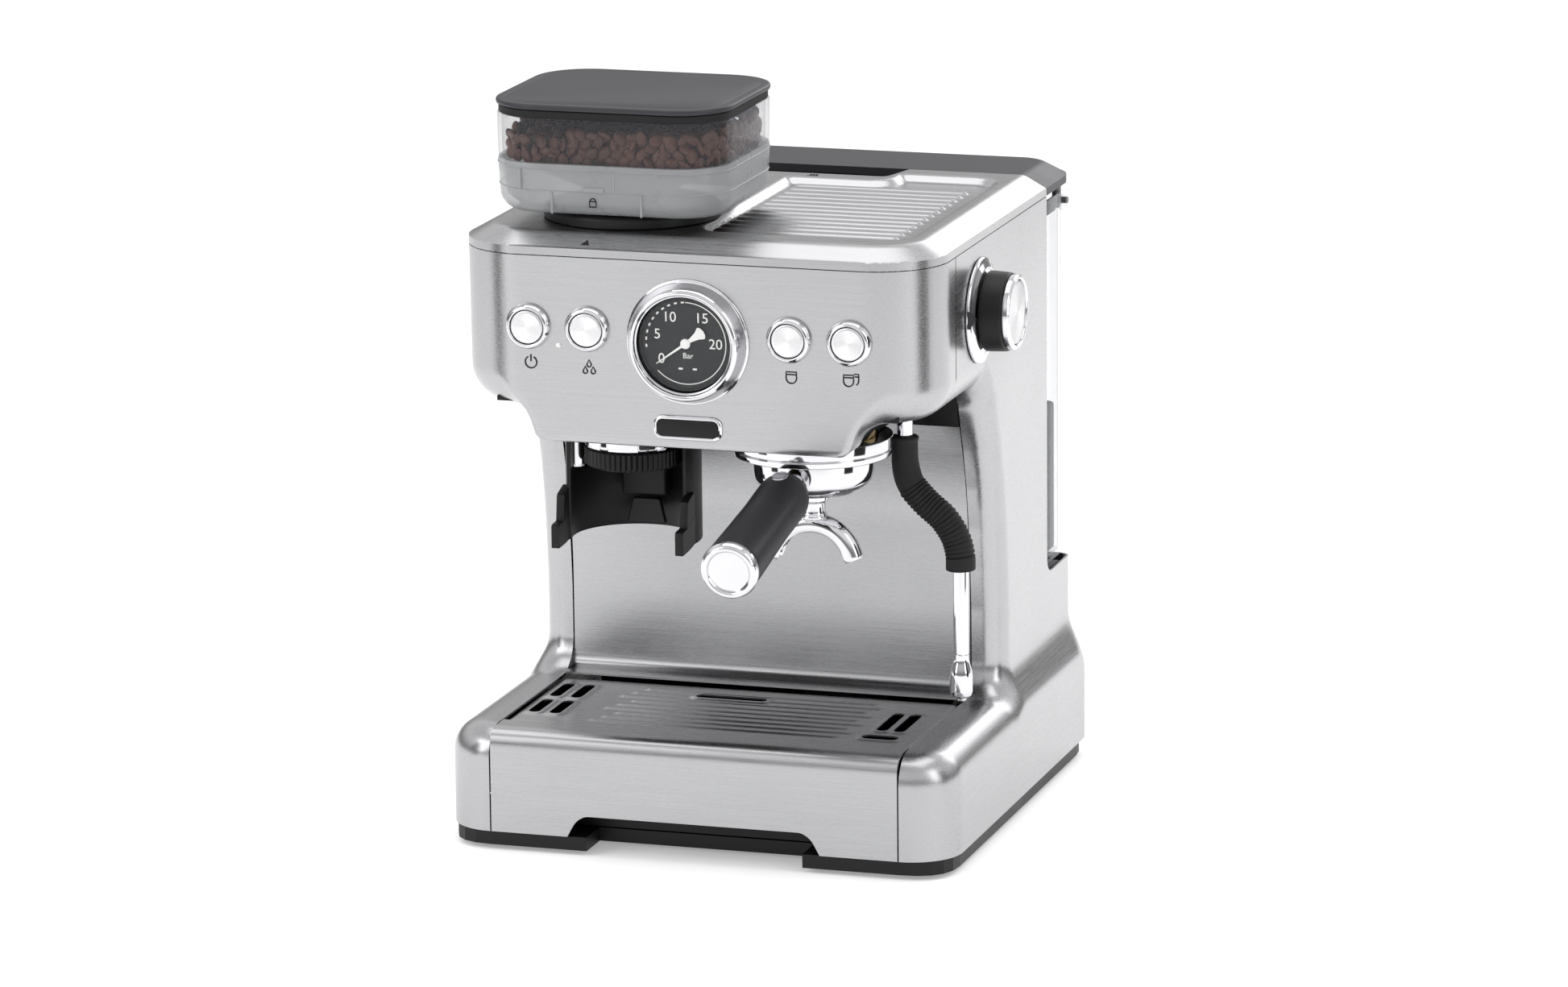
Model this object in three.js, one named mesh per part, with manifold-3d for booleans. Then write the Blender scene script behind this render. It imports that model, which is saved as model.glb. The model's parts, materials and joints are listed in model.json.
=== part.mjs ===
// Espresso machine with a built-in grinder: housing, drip tray, water tank, bean hopper,
// grinder, brew group, portafilter, steam wand, controls and the works inside.
// Millimetres, +Z up. The front faces -Y, +X is the side with the steam knob.
// Every piece is drawn about the mid-plane X = 0 with the floor at Z = 0; the last lines move
// the whole machine so that the origin is the bottom centre of its bounding box.
import * as THREE from "three";
import { mergeVertices } from "three/addons/utils/BufferGeometryUtils.js";
import Module from "manifold-3d";

const wasm = await Module();
wasm.setup();

// ---------------------------------------------------------------- driving dimensions
const GAP = 0.35; // kept between pieces that touch
const SHEET = 2.2; // wall of the steel covers
const ROUNDNESS = 0.75; // scales the number of facets round every turned piece

const BASE_HALF = 155; // half width of the flared base
const BODY_HALF = 144.3; // half width of the column and the head
const BASE_REAR = 171;
const COLUMN_REAR = 159;
const BASE_FRONT = -146.2;
const BASE_BOTTOM = 11.5; // lower edge of the steel, above the black base pan
const SHELF_Z = 73; // top of the flanks and the drip cover
const FLARE_LOW = 57; // the flare runs from here
const FLARE_HIGH = 93; // up to here

const HEAD_FRONT = -144.3; // front plane of the head at its upper edge
const HEAD_LEAN = 0.028; // the front plane leans back this much per mm going down
const HEAD_CORNER = 42; // radius of the head's vertical corners
const SEAM_Z = 356.4; // upper edge of the front and side panels
const HEAD_FLOOR = 264; // underside of the head's shoulders
const APRON_Z = 246.6; // underside of the apron in the middle of the head
const APRON_HALF = 94;
const PANEL_REAR = -89.5; // where the front panel's wrapped corners meet the side panels

const TOP_Z = 369.1; // flat top of the machine
const TOP_BAND = 5; // upright edge of the top cover
const TOP_INSET = 14; // run of the chamfer above that edge
const TANK_FRONT = 106; // rear edge of the side panels and the top cover
const LID_REAR = 177;

const TANK_HALF = 143;
const TANK_REAR = 155.5;
const TANK_FLOOR = 128;
const TANK_TOP = 352;

const TRAY_HALF = 124.4;
const COVER_FRONT = -121;
const COVER_REAR = -13;

const GROUP = new THREE.Vector3(55, -81, 235); // underside of the brew group's collar
const GRINDER = new THREE.Vector3(-56, -72, TOP_Z); // grinder axis, at the top cover
const OUTLET = new THREE.Vector3(-55, -81, 235); // underside of the grinder's chrome ring
const HOPPER_HALF = new THREE.Vector2(71.8, 63.7);
const HOPPER_CENTRE_Y = -68;
const HOPPER_BOTTOM = 377.5;
const HOPPER_SEAM = 407.5;
const HOPPER_TOP = 442;

const WAND = new THREE.Vector3(101.5, -50, 262); // the steam pipe's swivel
const WAND_REACH = 33.6; // sideways offset of the lower wand from the swivel
const KNOB = new THREE.Vector3(BODY_HALF, -40, 316);
const GAUGE_Z = 310.3;
const BUTTON_Z = 314.7;
const BUTTONS = { power: -96.6, purge: -60.8, single: 60.8, double: 96.6 };
const LID_HINGE = new THREE.Vector3(0, 162, 344);

// ---------------------------------------------------------------- finishes
const finish = (color, roughness, metalness, opacity = 1) => ({
  color,
  roughness,
  metalness,
  opacity,
  transparent: opacity < 1,
});
const BRUSHED = finish(0xb9babd, 0.34, 1);
const CHROME = finish(0xdadbde, 0.08, 1);
const BLACK = finish(0x1b1b1d, 0.55, 0);
const GREY = finish(0x4c4b50, 0.5, 0.1);
const RUBBER = finish(0x161618, 0.85, 0);
const CLEAR = finish(0xe6ecee, 0.06, 0, 0.3);
const FROSTED = finish(0xd4d6d6, 0.45, 0, 0.75);
const BRASS = finish(0xb08d4b, 0.35, 1);
const ALUMINIUM = finish(0x9c9ea1, 0.5, 1);
const GALVANISED = finish(0x8d9195, 0.5, 1);
const BEAN = finish(0x3f2317, 0.5, 0);
const DIAL = finish(0x2a2a2c, 0.6, 0);
const WHITE = finish(0xf2f2f0, 0.4, 0);
const BOARD = finish(0x1f5a38, 0.6, 0);

// ---------------------------------------------------------------- solids
// A closed three.js geometry as a solid with its faces pointing out.
function solid(geometry) {
  const bare = geometry.index ? geometry.toNonIndexed() : geometry.clone();
  bare.deleteAttribute("normal");
  bare.deleteAttribute("uv");
  const merged = mergeVertices(bare, 1e-3);
  const triVerts = new Uint32Array(merged.index.array);
  const vertProperties = merged.attributes.position.array;
  const made = new wasm.Manifold(new wasm.Mesh({ numProp: 3, vertProperties, triVerts }));
  if (made.volume() > 0) return made;
  for (let i = 0; i < triVerts.length; i += 3) {
    [triVerts[i + 1], triVerts[i + 2]] = [triVerts[i + 2], triVerts[i + 1]];
  }
  return new wasm.Manifold(new wasm.Mesh({ numProp: 3, vertProperties, triVerts }));
}

const join = (first, ...others) => others.reduce((sum, other) => sum.add(other), first);
const cut = (first, ...others) => others.reduce((rest, other) => rest.subtract(other), first);

function geometryOf(manifold) {
  const mesh = manifold.getMesh();
  const geometry = new THREE.BufferGeometry();
  const position = new Float32Array(mesh.numVert * 3);
  for (let i = 0; i < mesh.numVert; i += 1) {
    position.set(mesh.vertProperties.subarray(i * mesh.numProp, i * mesh.numProp + 3), i * 3);
  }
  geometry.setAttribute("position", new THREE.BufferAttribute(position, 3));
  geometry.setIndex(new THREE.BufferAttribute(mesh.triVerts, 1));
  geometry.computeVertexNormals();
  return geometry;
}

function part(parent, name, shape, look) {
  const mesh = new THREE.Mesh(geometryOf(shape), new THREE.MeshStandardMaterial(look));
  mesh.name = name;
  parent.add(mesh);
  return mesh;
}

function group(parent, x, y, z) {
  const made = new THREE.Group();
  made.position.set(x, y, z);
  parent.add(made);
  return made;
}

function box(x0, x1, y0, y1, z0, z1) {
  const made = new THREE.BoxGeometry(x1 - x0, y1 - y0, z1 - z0);
  made.translate((x0 + x1) / 2, (y0 + y1) / 2, (z0 + z1) / 2);
  return solid(made);
}

// A body turned about an axis through the origin; profile points are [radius, height along it].
function turned(profile, axis = "z", segments = 32) {
  const points = profile.map(([radius, height]) => new THREE.Vector2(radius, height));
  const made = new THREE.LatheGeometry([...points, points[0]], Math.round(segments * ROUNDNESS));
  if (axis === "z") made.rotateX(Math.PI / 2);
  if (axis === "x") made.rotateZ(-Math.PI / 2);
  return solid(made);
}

const drum = (radius, low, high, axis, segments) =>
  turned([[0, low], [radius, low], [radius, high], [0, high]], axis, segments);
const pipe = (outer, inner, low, high, axis, segments) =>
  turned([[inner, low], [outer, low], [outer, high], [inner, high]], axis, segments);

// Outlines are lists of [a, b, radius]: corners rounded by arcs of the given radius.
function outline(corners) {
  const shape = new THREE.Shape();
  corners.forEach(([a, b, radius = 0], i) => {
    const here = new THREE.Vector2(a, b);
    const [pa, pb] = corners[(i + corners.length - 1) % corners.length];
    const [na, nb] = corners[(i + 1) % corners.length];
    const back = new THREE.Vector2(pa, pb).sub(here).normalize();
    const ahead = new THREE.Vector2(na, nb).sub(here).normalize();
    const reach = radius / Math.tan(Math.acos(THREE.MathUtils.clamp(back.dot(ahead), -1, 1)) / 2);
    const start = here.clone().addScaledVector(back, reach);
    const end = here.clone().addScaledVector(ahead, reach);
    if (i === 0) shape.moveTo(start.x, start.y);
    else shape.lineTo(start.x, start.y);
    if (radius > 0) shape.quadraticCurveTo(a, b, end.x, end.y);
  });
  shape.closePath();
  return shape;
}

const slab = (shape, depth, curveSegments = 5) =>
  new THREE.ExtrudeGeometry(shape, { depth, bevelEnabled: false, curveSegments });

// Outline in X and Y, standing from z0 to z1.
function prismZ(corners, z0, z1, curveSegments) {
  const made = slab(outline(corners), z1 - z0, curveSegments);
  made.translate(0, 0, z0);
  return solid(made);
}
// Outline in Y and Z, running from x0 to x1.
function prismX(corners, x0, x1, curveSegments) {
  const made = slab(outline(corners), x1 - x0, curveSegments);
  made.applyMatrix4(new THREE.Matrix4().set(0, 0, 1, x0, 1, 0, 0, 0, 0, 1, 0, 0, 0, 0, 0, 1));
  return solid(made);
}
// Outline in X and Z, running from y0 to y1.
function prismY(corners, y0, y1, curveSegments) {
  const made = slab(outline(corners), y1 - y0, curveSegments);
  made.applyMatrix4(new THREE.Matrix4().set(1, 0, 0, 0, 0, 0, -1, y1, 0, 1, 0, 0, 0, 0, 0, 1));
  return solid(made);
}

const rectangle = (x0, x1, y0, y1, radius = 0) => [
  [x0, y0, radius],
  [x1, y0, radius],
  [x1, y1, radius],
  [x0, y1, radius],
];

// A solid through rounded rectangles at different heights: [half x, half y, radius, z].
function tapered(rings, steps = 5) {
  const loops = rings.map(([halfX, halfY, radius, z]) => {
    const points = [];
    for (let corner = 0; corner < 4; corner += 1) {
      const sx = corner === 0 || corner === 3 ? 1 : -1;
      const sy = corner < 2 ? 1 : -1;
      for (let i = 0; i <= steps; i += 1) {
        const angle = ((corner + i / steps) * Math.PI) / 2;
        const x = sx * (halfX - radius) + radius * Math.cos(angle);
        const y = sy * (halfY - radius) + radius * Math.sin(angle);
        points.push(new THREE.Vector3(x, y, z));
      }
    }
    return points;
  });
  const count = loops[0].length;
  const first = new THREE.Vector3(0, 0, rings[0][3]);
  const last = new THREE.Vector3(0, 0, rings[rings.length - 1][3]);
  const triangles = [];
  for (let i = 0; i < count; i += 1) {
    const j = (i + 1) % count;
    triangles.push(first, loops[0][j], loops[0][i]);
    triangles.push(last, loops[loops.length - 1][i], loops[loops.length - 1][j]);
    for (let k = 0; k + 1 < loops.length; k += 1) {
      triangles.push(loops[k][i], loops[k][j], loops[k + 1][j]);
      triangles.push(loops[k][i], loops[k + 1][j], loops[k + 1][i]);
    }
  }
  return solid(new THREE.BufferGeometry().setFromPoints(triangles));
}

function swept(points, radius, sides = 12, steps = 24) {
  const curve = new THREE.CatmullRomCurve3(points.map((p) => new THREE.Vector3(...p)));
  const section = new THREE.Shape().absarc(0, 0, radius, 0, 2 * Math.PI);
  const curveSegments = sides / 2;
  return solid(new THREE.ExtrudeGeometry(section, { extrudePath: curve, steps, curveSegments }));
}

const machine = new THREE.Group();
const headGroup = group(machine, 0, 0, 0);
const bodyGroup = group(machine, 0, 0, 0);
const baseGroup = group(machine, 0, 0, 0);

// ---------------------------------------------------------------- base pan and feet
const RECESS_HALF = 70; // the finger recess under the drip tray's front
const RECESS_Z = 24.5;

const basePlan = rectangle(-BASE_HALF + 2, BASE_HALF - 2, BASE_FRONT + 2, BASE_REAR - 2, 28);
const recessCut = box(-66, 66, -160, -120, 0, 30);
const foot = turned([[0, 0], [10, 0], [11.5, 1], [11.5, 4], [0, 4]], "z", 20);
const feet = [-118, 118].flatMap((x) =>
  [BASE_FRONT + 34, BASE_REAR - 30].map((y) => foot.translate([x, y, 0])),
);
const pan = cut(prismZ(basePlan, 3, BASE_BOTTOM - GAP), recessCut);
part(baseGroup, "base_pan", join(pan, ...feet), BLACK);

// ---------------------------------------------------------------- side panels
// Front edge of the column seen from the side, going down from the head.
const columnEdge = (inset) => [
  [-20 + inset, 250, 30],
  [inset, 203, 60],
  [8 + inset, 150, 40],
  [8 + inset, SHELF_Z - inset, 22],
];
// The panel's silhouette seen from the side, as [y, z, radius]; it covers head, column and base.
// The inner one runs on past the panel's open edges, so that they stay open.
function sideSilhouette(inset, bottom) {
  const past = inset > 0 ? 9 : 0;
  const top = SEAM_Z - GAP + past;
  const front = PANEL_REAR + GAP - past;
  return [
    [front, top],
    [front, HEAD_FLOOR + inset],
    [-20 + inset, HEAD_FLOOR + inset],
    ...columnEdge(inset),
    [BASE_FRONT + inset, SHELF_Z - inset, 20],
    [BASE_FRONT + inset, bottom],
    [BASE_REAR - inset, bottom],
    [BASE_REAR - inset, FLARE_LOW + 6, 12],
    [COLUMN_REAR + 3 - inset, FLARE_HIGH - 10, 12],
    [COLUMN_REAR + 3 - inset, TANK_FLOOR - 3 - inset, 0],
    [TANK_FRONT + past, TANK_FLOOR - 3 - inset],
    [TANK_FRONT + past, top],
  ];
}
// Cross-section of the right flank, as [x, z, radius], from the drip tray's side outwards.
const flankSection = (inset, inner, bottom) => [
  [inner, bottom],
  [BASE_HALF - inset, bottom],
  [BASE_HALF - inset, FLARE_LOW, 22],
  [BODY_HALF - inset, FLARE_HIGH - 14, 26],
  [BODY_HALF - inset, SEAM_Z + 20],
  [inner, SEAM_Z + 20],
];
const shelfSection = (inset, inner, bottom) => [
  [inner, bottom],
  [BASE_HALF - inset, bottom],
  [BASE_HALF - inset, SHELF_Z - inset, 17],
  [inner, SHELF_Z - inset],
];
// The side's outer body: column, head side and flared flank with its rounded shelf in front.
function sideHull(inset, inner, bottom) {
  const column = prismY(flankSection(inset, inner, bottom), -200, 200, 4).intersect(
    prismX(sideSilhouette(inset, bottom), 0, BASE_HALF + 5, 6),
  );
  const behindShelf = join(box(0, 200, -24, 200, 0, 400), box(0, 200, -200, 200, 200, 400));
  const shelf = prismY(shelfSection(inset, inner, bottom), BASE_FRONT, BASE_REAR, 4);
  const plan = [
    [0, BASE_FRONT + inset, 0],
    [BASE_HALF - inset, BASE_FRONT + inset, 32],
    [BASE_HALF - inset, BASE_REAR - inset, 26],
    [0, BASE_REAR - inset, 0],
  ];
  return column.intersect(behindShelf).add(shelf).intersect(prismZ(plan, 0, 400, 6));
}
const panelInner = TRAY_HALF + GAP;
const sidePanel = cut(
  sideHull(0, panelInner, BASE_BOTTOM),
  sideHull(SHEET, panelInner - 5, BASE_BOTTOM - 9),
);
// The knob's spindle passes through the right panel.
const spindleHole = drum(5, 0, 60, "x", 20).translate([BODY_HALF - 30, KNOB.y, KNOB.z]);
part(bodyGroup, "side_panel_right", cut(sidePanel, spindleHole), BRUSHED);
part(bodyGroup, "side_panel_left", sidePanel.mirror([1, 0, 0]), BRUSHED);

// ---------------------------------------------------------------- backsplash and column
// Centre line of the backsplash seen from the side, as [y, z, radius].
const splashLine = [
  [-12, 240, 0],
  [1, 203, 60],
  [9, 150, 40],
  [9, SHELF_Z + 1, 20],
  [COVER_REAR + 1, SHELF_Z + 1, 0],
];
const splashBack = splashLine
  .map(([y, z, radius], i) => (i < 3 ? [y + 1.6, z, radius] : [y + 1.6, z - 1.6, radius]))
  .reverse();
splashBack[0][0] = COVER_REAR + 1;
const splash = prismX([...splashLine, ...splashBack], -TRAY_HALF + 0.4, TRAY_HALF - 0.4, 5);
part(bodyGroup, "backsplash", splash, BRUSHED);

// Floor of the head: shoulders with a lowered middle, open for the brew group and the grinder,
// and a dark apron behind it that comes down to the backsplash.
const floorHalf = BODY_HALF - SHEET - GAP;
const floorSection = [
  [-floorHalf + 20, HEAD_FLOOR + SHEET + GAP],
  [-APRON_HALF - 6, HEAD_FLOOR + SHEET + GAP],
  [-APRON_HALF + 3, APRON_Z + 0.4],
  [APRON_HALF - 3, APRON_Z + 0.4],
  [APRON_HALF + 6, HEAD_FLOOR + SHEET + GAP],
  [floorHalf - 20, HEAD_FLOOR + SHEET + GAP],
];
const floorTop = floorSection.map(([x, z]) => [x, z + 2.5]).reverse();
const backApron = box(-TRAY_HALF + 0.4, TRAY_HALF - 0.4, -17, -14.5, 241, 267.5);
const headFloor = cut(
  prismY([...floorSection, ...floorTop], -129, -15).add(backApron),
  drum(38, 200, 300, "z", 36).translate([GROUP.x, GROUP.y, 0]),
  drum(24, 200, 300, "z", 32).translate([OUTLET.x, OUTLET.y, 0]),
  drum(8, 200, 300, "z", 20).translate([WAND.x, WAND.y, 0]),
  drum(4, 200, 300, "z", 12).translate([-90, -81, 0]),
);
part(headGroup, "head_floor", headFloor, BLACK);

// Bulkhead between the works and the water tank, with the tank's seat at its foot.
const SEAT_Z = TANK_FLOOR - 5.5;
const seatRibs = [-105, 105].map((x) => box(x - 5, x + 5, 110, 148, SEAT_Z - 1, TANK_FLOOR - GAP));
const seatHole = drum(9, 0, 200, "z", 20).translate([0, 130, 0]);
const bulkhead = cut(
  prismX(
    [
      [TANK_FRONT - 6, BASE_BOTTOM],
      [TANK_FRONT - 3, BASE_BOTTOM],
      [TANK_FRONT - 3, SEAT_Z - 3],
      [TANK_REAR - 4, SEAT_Z - 3],
      [TANK_REAR - 4, SEAT_Z],
      [TANK_FRONT - 3, SEAT_Z],
      [TANK_FRONT - 3, SEAM_Z - 8],
      [TANK_FRONT - 6, SEAM_Z - 8],
    ],
    -BODY_HALF + 5,
    BODY_HALF - 5,
  ),
  seatHole,
);
// The frame's rear wall under the tank has vents and the opening of the cord gland.
const GLAND = new THREE.Vector3(-80, COLUMN_REAR, 36);
const vents = [];
for (let i = 0; i < 8; i += 1) {
  vents.push(box(-34 + i * 9, -30 + i * 9, 140, 180, 88, 112));
}
const rearHalf = TRAY_HALF - 0.4;
const rearLine = [
  [BASE_REAR - 2.5, BASE_BOTTOM, 0],
  [BASE_REAR - 2.5, FLARE_LOW + 6, 12],
  [COLUMN_REAR, FLARE_HIGH - 10, 12],
  [COLUMN_REAR, SEAT_Z, 0],
];
const rearInner = rearLine.map(([y, z, radius]) => [y - 2.5, z, radius]).reverse();
const rearWall = cut(
  prismX([...rearLine, ...rearInner], -rearHalf, rearHalf, 3),
  drum(6.5, 140, 180, "y", 20).translate([GLAND.x, 0, GLAND.z]),
  ...vents,
);
const rearLedge = box(-rearHalf, rearHalf, TANK_REAR - 5, COLUMN_REAR - 1, SEAT_Z - 3, SEAT_Z);
part(bodyGroup, "rear_frame", join(bulkhead, rearLedge, rearWall, ...seatRibs), GREY);
const gland = join(
  pipe(9.5, 4, BASE_REAR - 2.1, BASE_REAR + 1.5, "y", 20),
  pipe(6.1, 4, BASE_REAR - 9, BASE_REAR - 2, "y", 20),
);
part(group(bodyGroup, GLAND.x, 0, GLAND.z), "cord_gland", gland, RUBBER);

// ---------------------------------------------------------------- front panel
// The head seen from the front, as [x, z, radius], drawn in by inset.
function headOutline(inset, top, bottom) {
  const right = [
    [BODY_HALF - inset, top, 0],
    [BODY_HALF - inset, HEAD_FLOOR + inset, 24 - inset],
    [APRON_HALF + 8 - inset, HEAD_FLOOR + inset, 10],
    [APRON_HALF - inset, bottom, 0],
  ];
  return [...right, ...right.map(([x, z, radius]) => [-x, z, radius]).reverse()];
}
function headBlock(inset, top, bottom) {
  const leanBack = new THREE.Matrix4().makeShear(0, 0, 0, 0, 0, -HEAD_LEAN);
  const plan = slab(
    outline([
      [-BODY_HALF + inset, HEAD_FRONT + inset, HEAD_CORNER - inset],
      [BODY_HALF - inset, HEAD_FRONT + inset, HEAD_CORNER - inset],
      [BODY_HALF - inset, 0],
      [-BODY_HALF + inset, 0],
    ]),
    130,
    6,
  );
  plan.translate(0, 0, -130).applyMatrix4(leanBack).translate(0, 0, SEAM_Z + 8);
  return prismY(headOutline(inset, top, bottom), -200, PANEL_REAR, 5).intersect(solid(plan));
}
const GAUGE_BODY = 29;
const openings = Object.values(BUTTONS).map((x) =>
  drum(11.7, -160, -130, "y", 20).translate([x, 0, BUTTON_Z]),
);
openings.push(drum(GAUGE_BODY + 0.6, -160, -130, "y", 36).translate([0, 0, GAUGE_Z]));
openings.push(drum(1.8, -160, -130, "y", 12).translate([-78.6, 0, 304.3]));
const frontPanel = cut(
  headBlock(0, SEAM_Z, APRON_Z),
  headBlock(SHEET, SEAM_Z + 5, APRON_Z - 5),
  ...openings,
);
part(headGroup, "front_panel", frontPanel, BRUSHED);

// ---------------------------------------------------------------- top cover
const coverHalfY = (TANK_FRONT - HEAD_FRONT) / 2;
const coverY = (TANK_FRONT + HEAD_FRONT) / 2;
const coverLow = SEAM_Z + GAP;
function coverBody(inset, drop) {
  const half = BODY_HALF - inset;
  return tapered(
    [
      [half, coverHalfY + 30 - inset, HEAD_CORNER - inset, coverLow - drop],
      [half, coverHalfY + 30 - inset, HEAD_CORNER - inset, SEAM_Z + TOP_BAND - inset * 0.4],
      [half - TOP_INSET, coverHalfY + 30 - TOP_INSET - inset, 30, TOP_Z - inset],
    ],
    7,
  ).translate([0, coverY + 30, 0]);
}
const SLOT_HALF = 60; // the finger slot in front of the tank's lid
const slotTray = box(-SLOT_HALF - 3, SLOT_HALF + 3, 77, TANK_FRONT - GAP, coverLow, TOP_Z - 2);
const trayPocket = tapered(
  [
    [56, 82, 12, TOP_Z - 4],
    [60, 86, 16, TOP_Z + 1],
  ],
  5,
).translate([62, -24, 0]);
const topCover = cut(
  join(cut(coverBody(0, 0), coverBody(SHEET + 2.2, 5)), slotTray),
  box(-200, 200, TANK_FRONT - GAP, 300, 300, 400),
  box(-SLOT_HALF, SLOT_HALF, 80, 200, SEAM_Z + 4, 400),
  trayPocket,
  drum(46, 340, 380, "z", 40).translate([GRINDER.x, GRINDER.y, 0]),
);
part(headGroup, "top_cover", topCover, BRUSHED);

// ---------------------------------------------------------------- water tank
const tankHalfY = (TANK_REAR - TANK_FRONT) / 2 - 0.4;
const tankY = (TANK_REAR + TANK_FRONT) / 2 + 0.4;
const tank = group(machine, 0, tankY, 0);
const tankWall = (inset, low, high) => [
  [TANK_HALF - inset, tankHalfY - inset, 12 - inset, low],
  [TANK_HALF - inset, tankHalfY - inset, 12 - inset, high],
];
const bossX = TANK_HALF - 2.5;
const hingeY = LID_HINGE.y - tankY;
const bosses = [-1, 1].flatMap((side) => [
  drum(6.5, -2.5, 2.5, "x", 20).translate([side * bossX, hingeY, LID_HINGE.z]),
  box(
    side * bossX - 2.5,
    side * bossX + 2.5,
    tankHalfY - 6,
    hingeY,
    LID_HINGE.z - 5,
    LID_HINGE.z + 5,
  ),
]);
const pinBores = [-1, 1].map((side) =>
  drum(2.3, -4, 4, "x", 16).translate([side * bossX, hingeY, LID_HINGE.z]),
);
const tankShell = cut(
  join(tapered(tankWall(0, TANK_FLOOR, TANK_TOP), 4), ...bosses),
  tapered(tankWall(2.4, TANK_FLOOR + 2.6, TANK_TOP + 5), 4),
  drum(7, 100, 140, "z", 20).translate([0, 0, 0]),
  ...pinBores,
);
part(tank, "water_tank", tankShell, CLEAR);
const valve = join(
  drum(6.6, TANK_FLOOR - 3, TANK_FLOOR + 14, "z", 20),
  drum(10, TANK_FLOOR + 3, TANK_FLOOR + 8, "z", 20),
);
part(tank, "tank_valve", valve, BLACK);

const lidGroup = group(machine, 0, 0, 0);
const lidHalfY = (LID_REAR - TANK_FRONT) / 2 + 20;
const lidY = LID_REAR - lidHalfY;
function lidBody(inset, drop) {
  return tapered(
    [
      [BODY_HALF - inset, lidHalfY - inset, 30 - inset, coverLow - drop],
      [BODY_HALF - inset, lidHalfY - inset, 30 - inset, SEAM_Z + TOP_BAND - inset * 0.4],
      [BODY_HALF - TOP_INSET - inset, lidHalfY - 4 - inset, 27 - inset, TOP_Z - inset],
    ],
    6,
  ).translate([0, lidY, 0]);
}
const ears = [-1, 1].map((side) => {
  const ear = prismX(
    [
      [LID_HINGE.y - 6, LID_HINGE.z - 6, 5],
      [LID_HINGE.y + 6, LID_HINGE.z - 6, 5],
      [LID_HINGE.y + 6, TOP_Z - 3],
      [LID_HINGE.y - 6, TOP_Z - 3],
    ],
    -2,
    2,
    4,
  );
  const pin = drum(2, -1, 7.5, "x", 16).translate([0, LID_HINGE.y, LID_HINGE.z]);
  const place = [TANK_HALF - 8, 0, 0];
  const right = ear.translate(place).intersect(lidBody(0.6, 30)).add(pin.translate(place));
  return side > 0 ? right : right.mirror([1, 0, 0]);
});
const tankLid = join(
  cut(
    lidBody(0, 0),
    lidBody(2.6, 5),
    box(-200, 200, 0, TANK_FRONT, 300, 400),
  ),
  ...ears,
);
part(lidGroup, "tank_lid", tankLid, GREY);

// ---------------------------------------------------------------- drip tray
const trayInner = TRAY_HALF - GAP;
const frontCurve = [
  [BASE_FRONT, BASE_BOTTOM],
  [BASE_FRONT, SHELF_Z, 23],
  [COVER_FRONT - GAP, SHELF_Z],
];
const frontBack = [
  [COVER_FRONT - GAP, SHELF_Z - 2],
  [BASE_FRONT + 2, SHELF_Z - 2, 22],
  [BASE_FRONT + 2, BASE_BOTTOM],
];
const trayFront = cut(
  prismX([...frontCurve, ...frontBack], -trayInner, trayInner, 7),
  prismY(
    [
      [-RECESS_HALF - 9, 0],
      [RECESS_HALF + 9, 0],
      [RECESS_HALF + 5, BASE_BOTTOM + 1],
      [RECESS_HALF - 1, RECESS_Z, 5],
      [-RECESS_HALF + 1, RECESS_Z, 5],
      [-RECESS_HALF - 5, BASE_BOTTOM + 1],
    ],
    -160,
    -130,
  ),
);
part(baseGroup, "drip_tray_front", trayFront, BRUSHED);

const BIN_LIP = BASE_FRONT + 26; // rear end of the finger recess under the bin
const binOuter = prismX(
  [
    [BASE_FRONT + 2.4, 28],
    [BASE_FRONT + 2.4, SHELF_Z - 3, 20],
    [COVER_REAR - 1, SHELF_Z - 3],
    [COVER_REAR - 1, BASE_BOTTOM + 0.6],
    [BIN_LIP, BASE_BOTTOM + 0.6],
    [BIN_LIP, 28],
  ],
  -trayInner + 1.5,
  trayInner - 1.5,
  6,
);
const binInner = box(
  -trayInner + 4.2,
  trayInner - 4.2,
  COVER_FRONT + 3,
  COVER_REAR - 4,
  BASE_BOTTOM + 3.4,
  SHELF_Z + 4,
);
part(baseGroup, "drip_tray", cut(binOuter, binInner), BLACK);

// Slots in the drip cover as [x0, x1, y0, y1].
const coverSlots = [
  [-117, -110, -100, -70],
  [-117, -110, -62, -31],
  [-104, -97, -100, -70],
  [-104, -97, -62, -31],
  [93.5, 100.5, -88, -47],
  [104, 111, -88, -47],
  [90, 112, -107, -98],
  [-32, 12, -42, -35],
];
const dripCover = cut(
  box(-trayInner + 0.6, trayInner - 0.6, COVER_FRONT, COVER_REAR, SHELF_Z - 2, SHELF_Z),
  ...coverSlots.map(([x0, x1, y0, y1]) => box(x0, x1, y0, y1, SHELF_Z - 5, SHELF_Z + 5)),
);
part(baseGroup, "drip_cover", dripCover, BRUSHED);

// ---------------------------------------------------------------- hopper
part(
  group(headGroup, GRINDER.x, GRINDER.y, 0),
  "hopper_collar",
  join(
    pipe(52, 40, TOP_Z + GAP, HOPPER_BOTTOM - 1, "z", 28),
    pipe(45, 40, TOP_Z - 8, TOP_Z + 1, "z", 28),
  ),
  BLACK,
);

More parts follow.
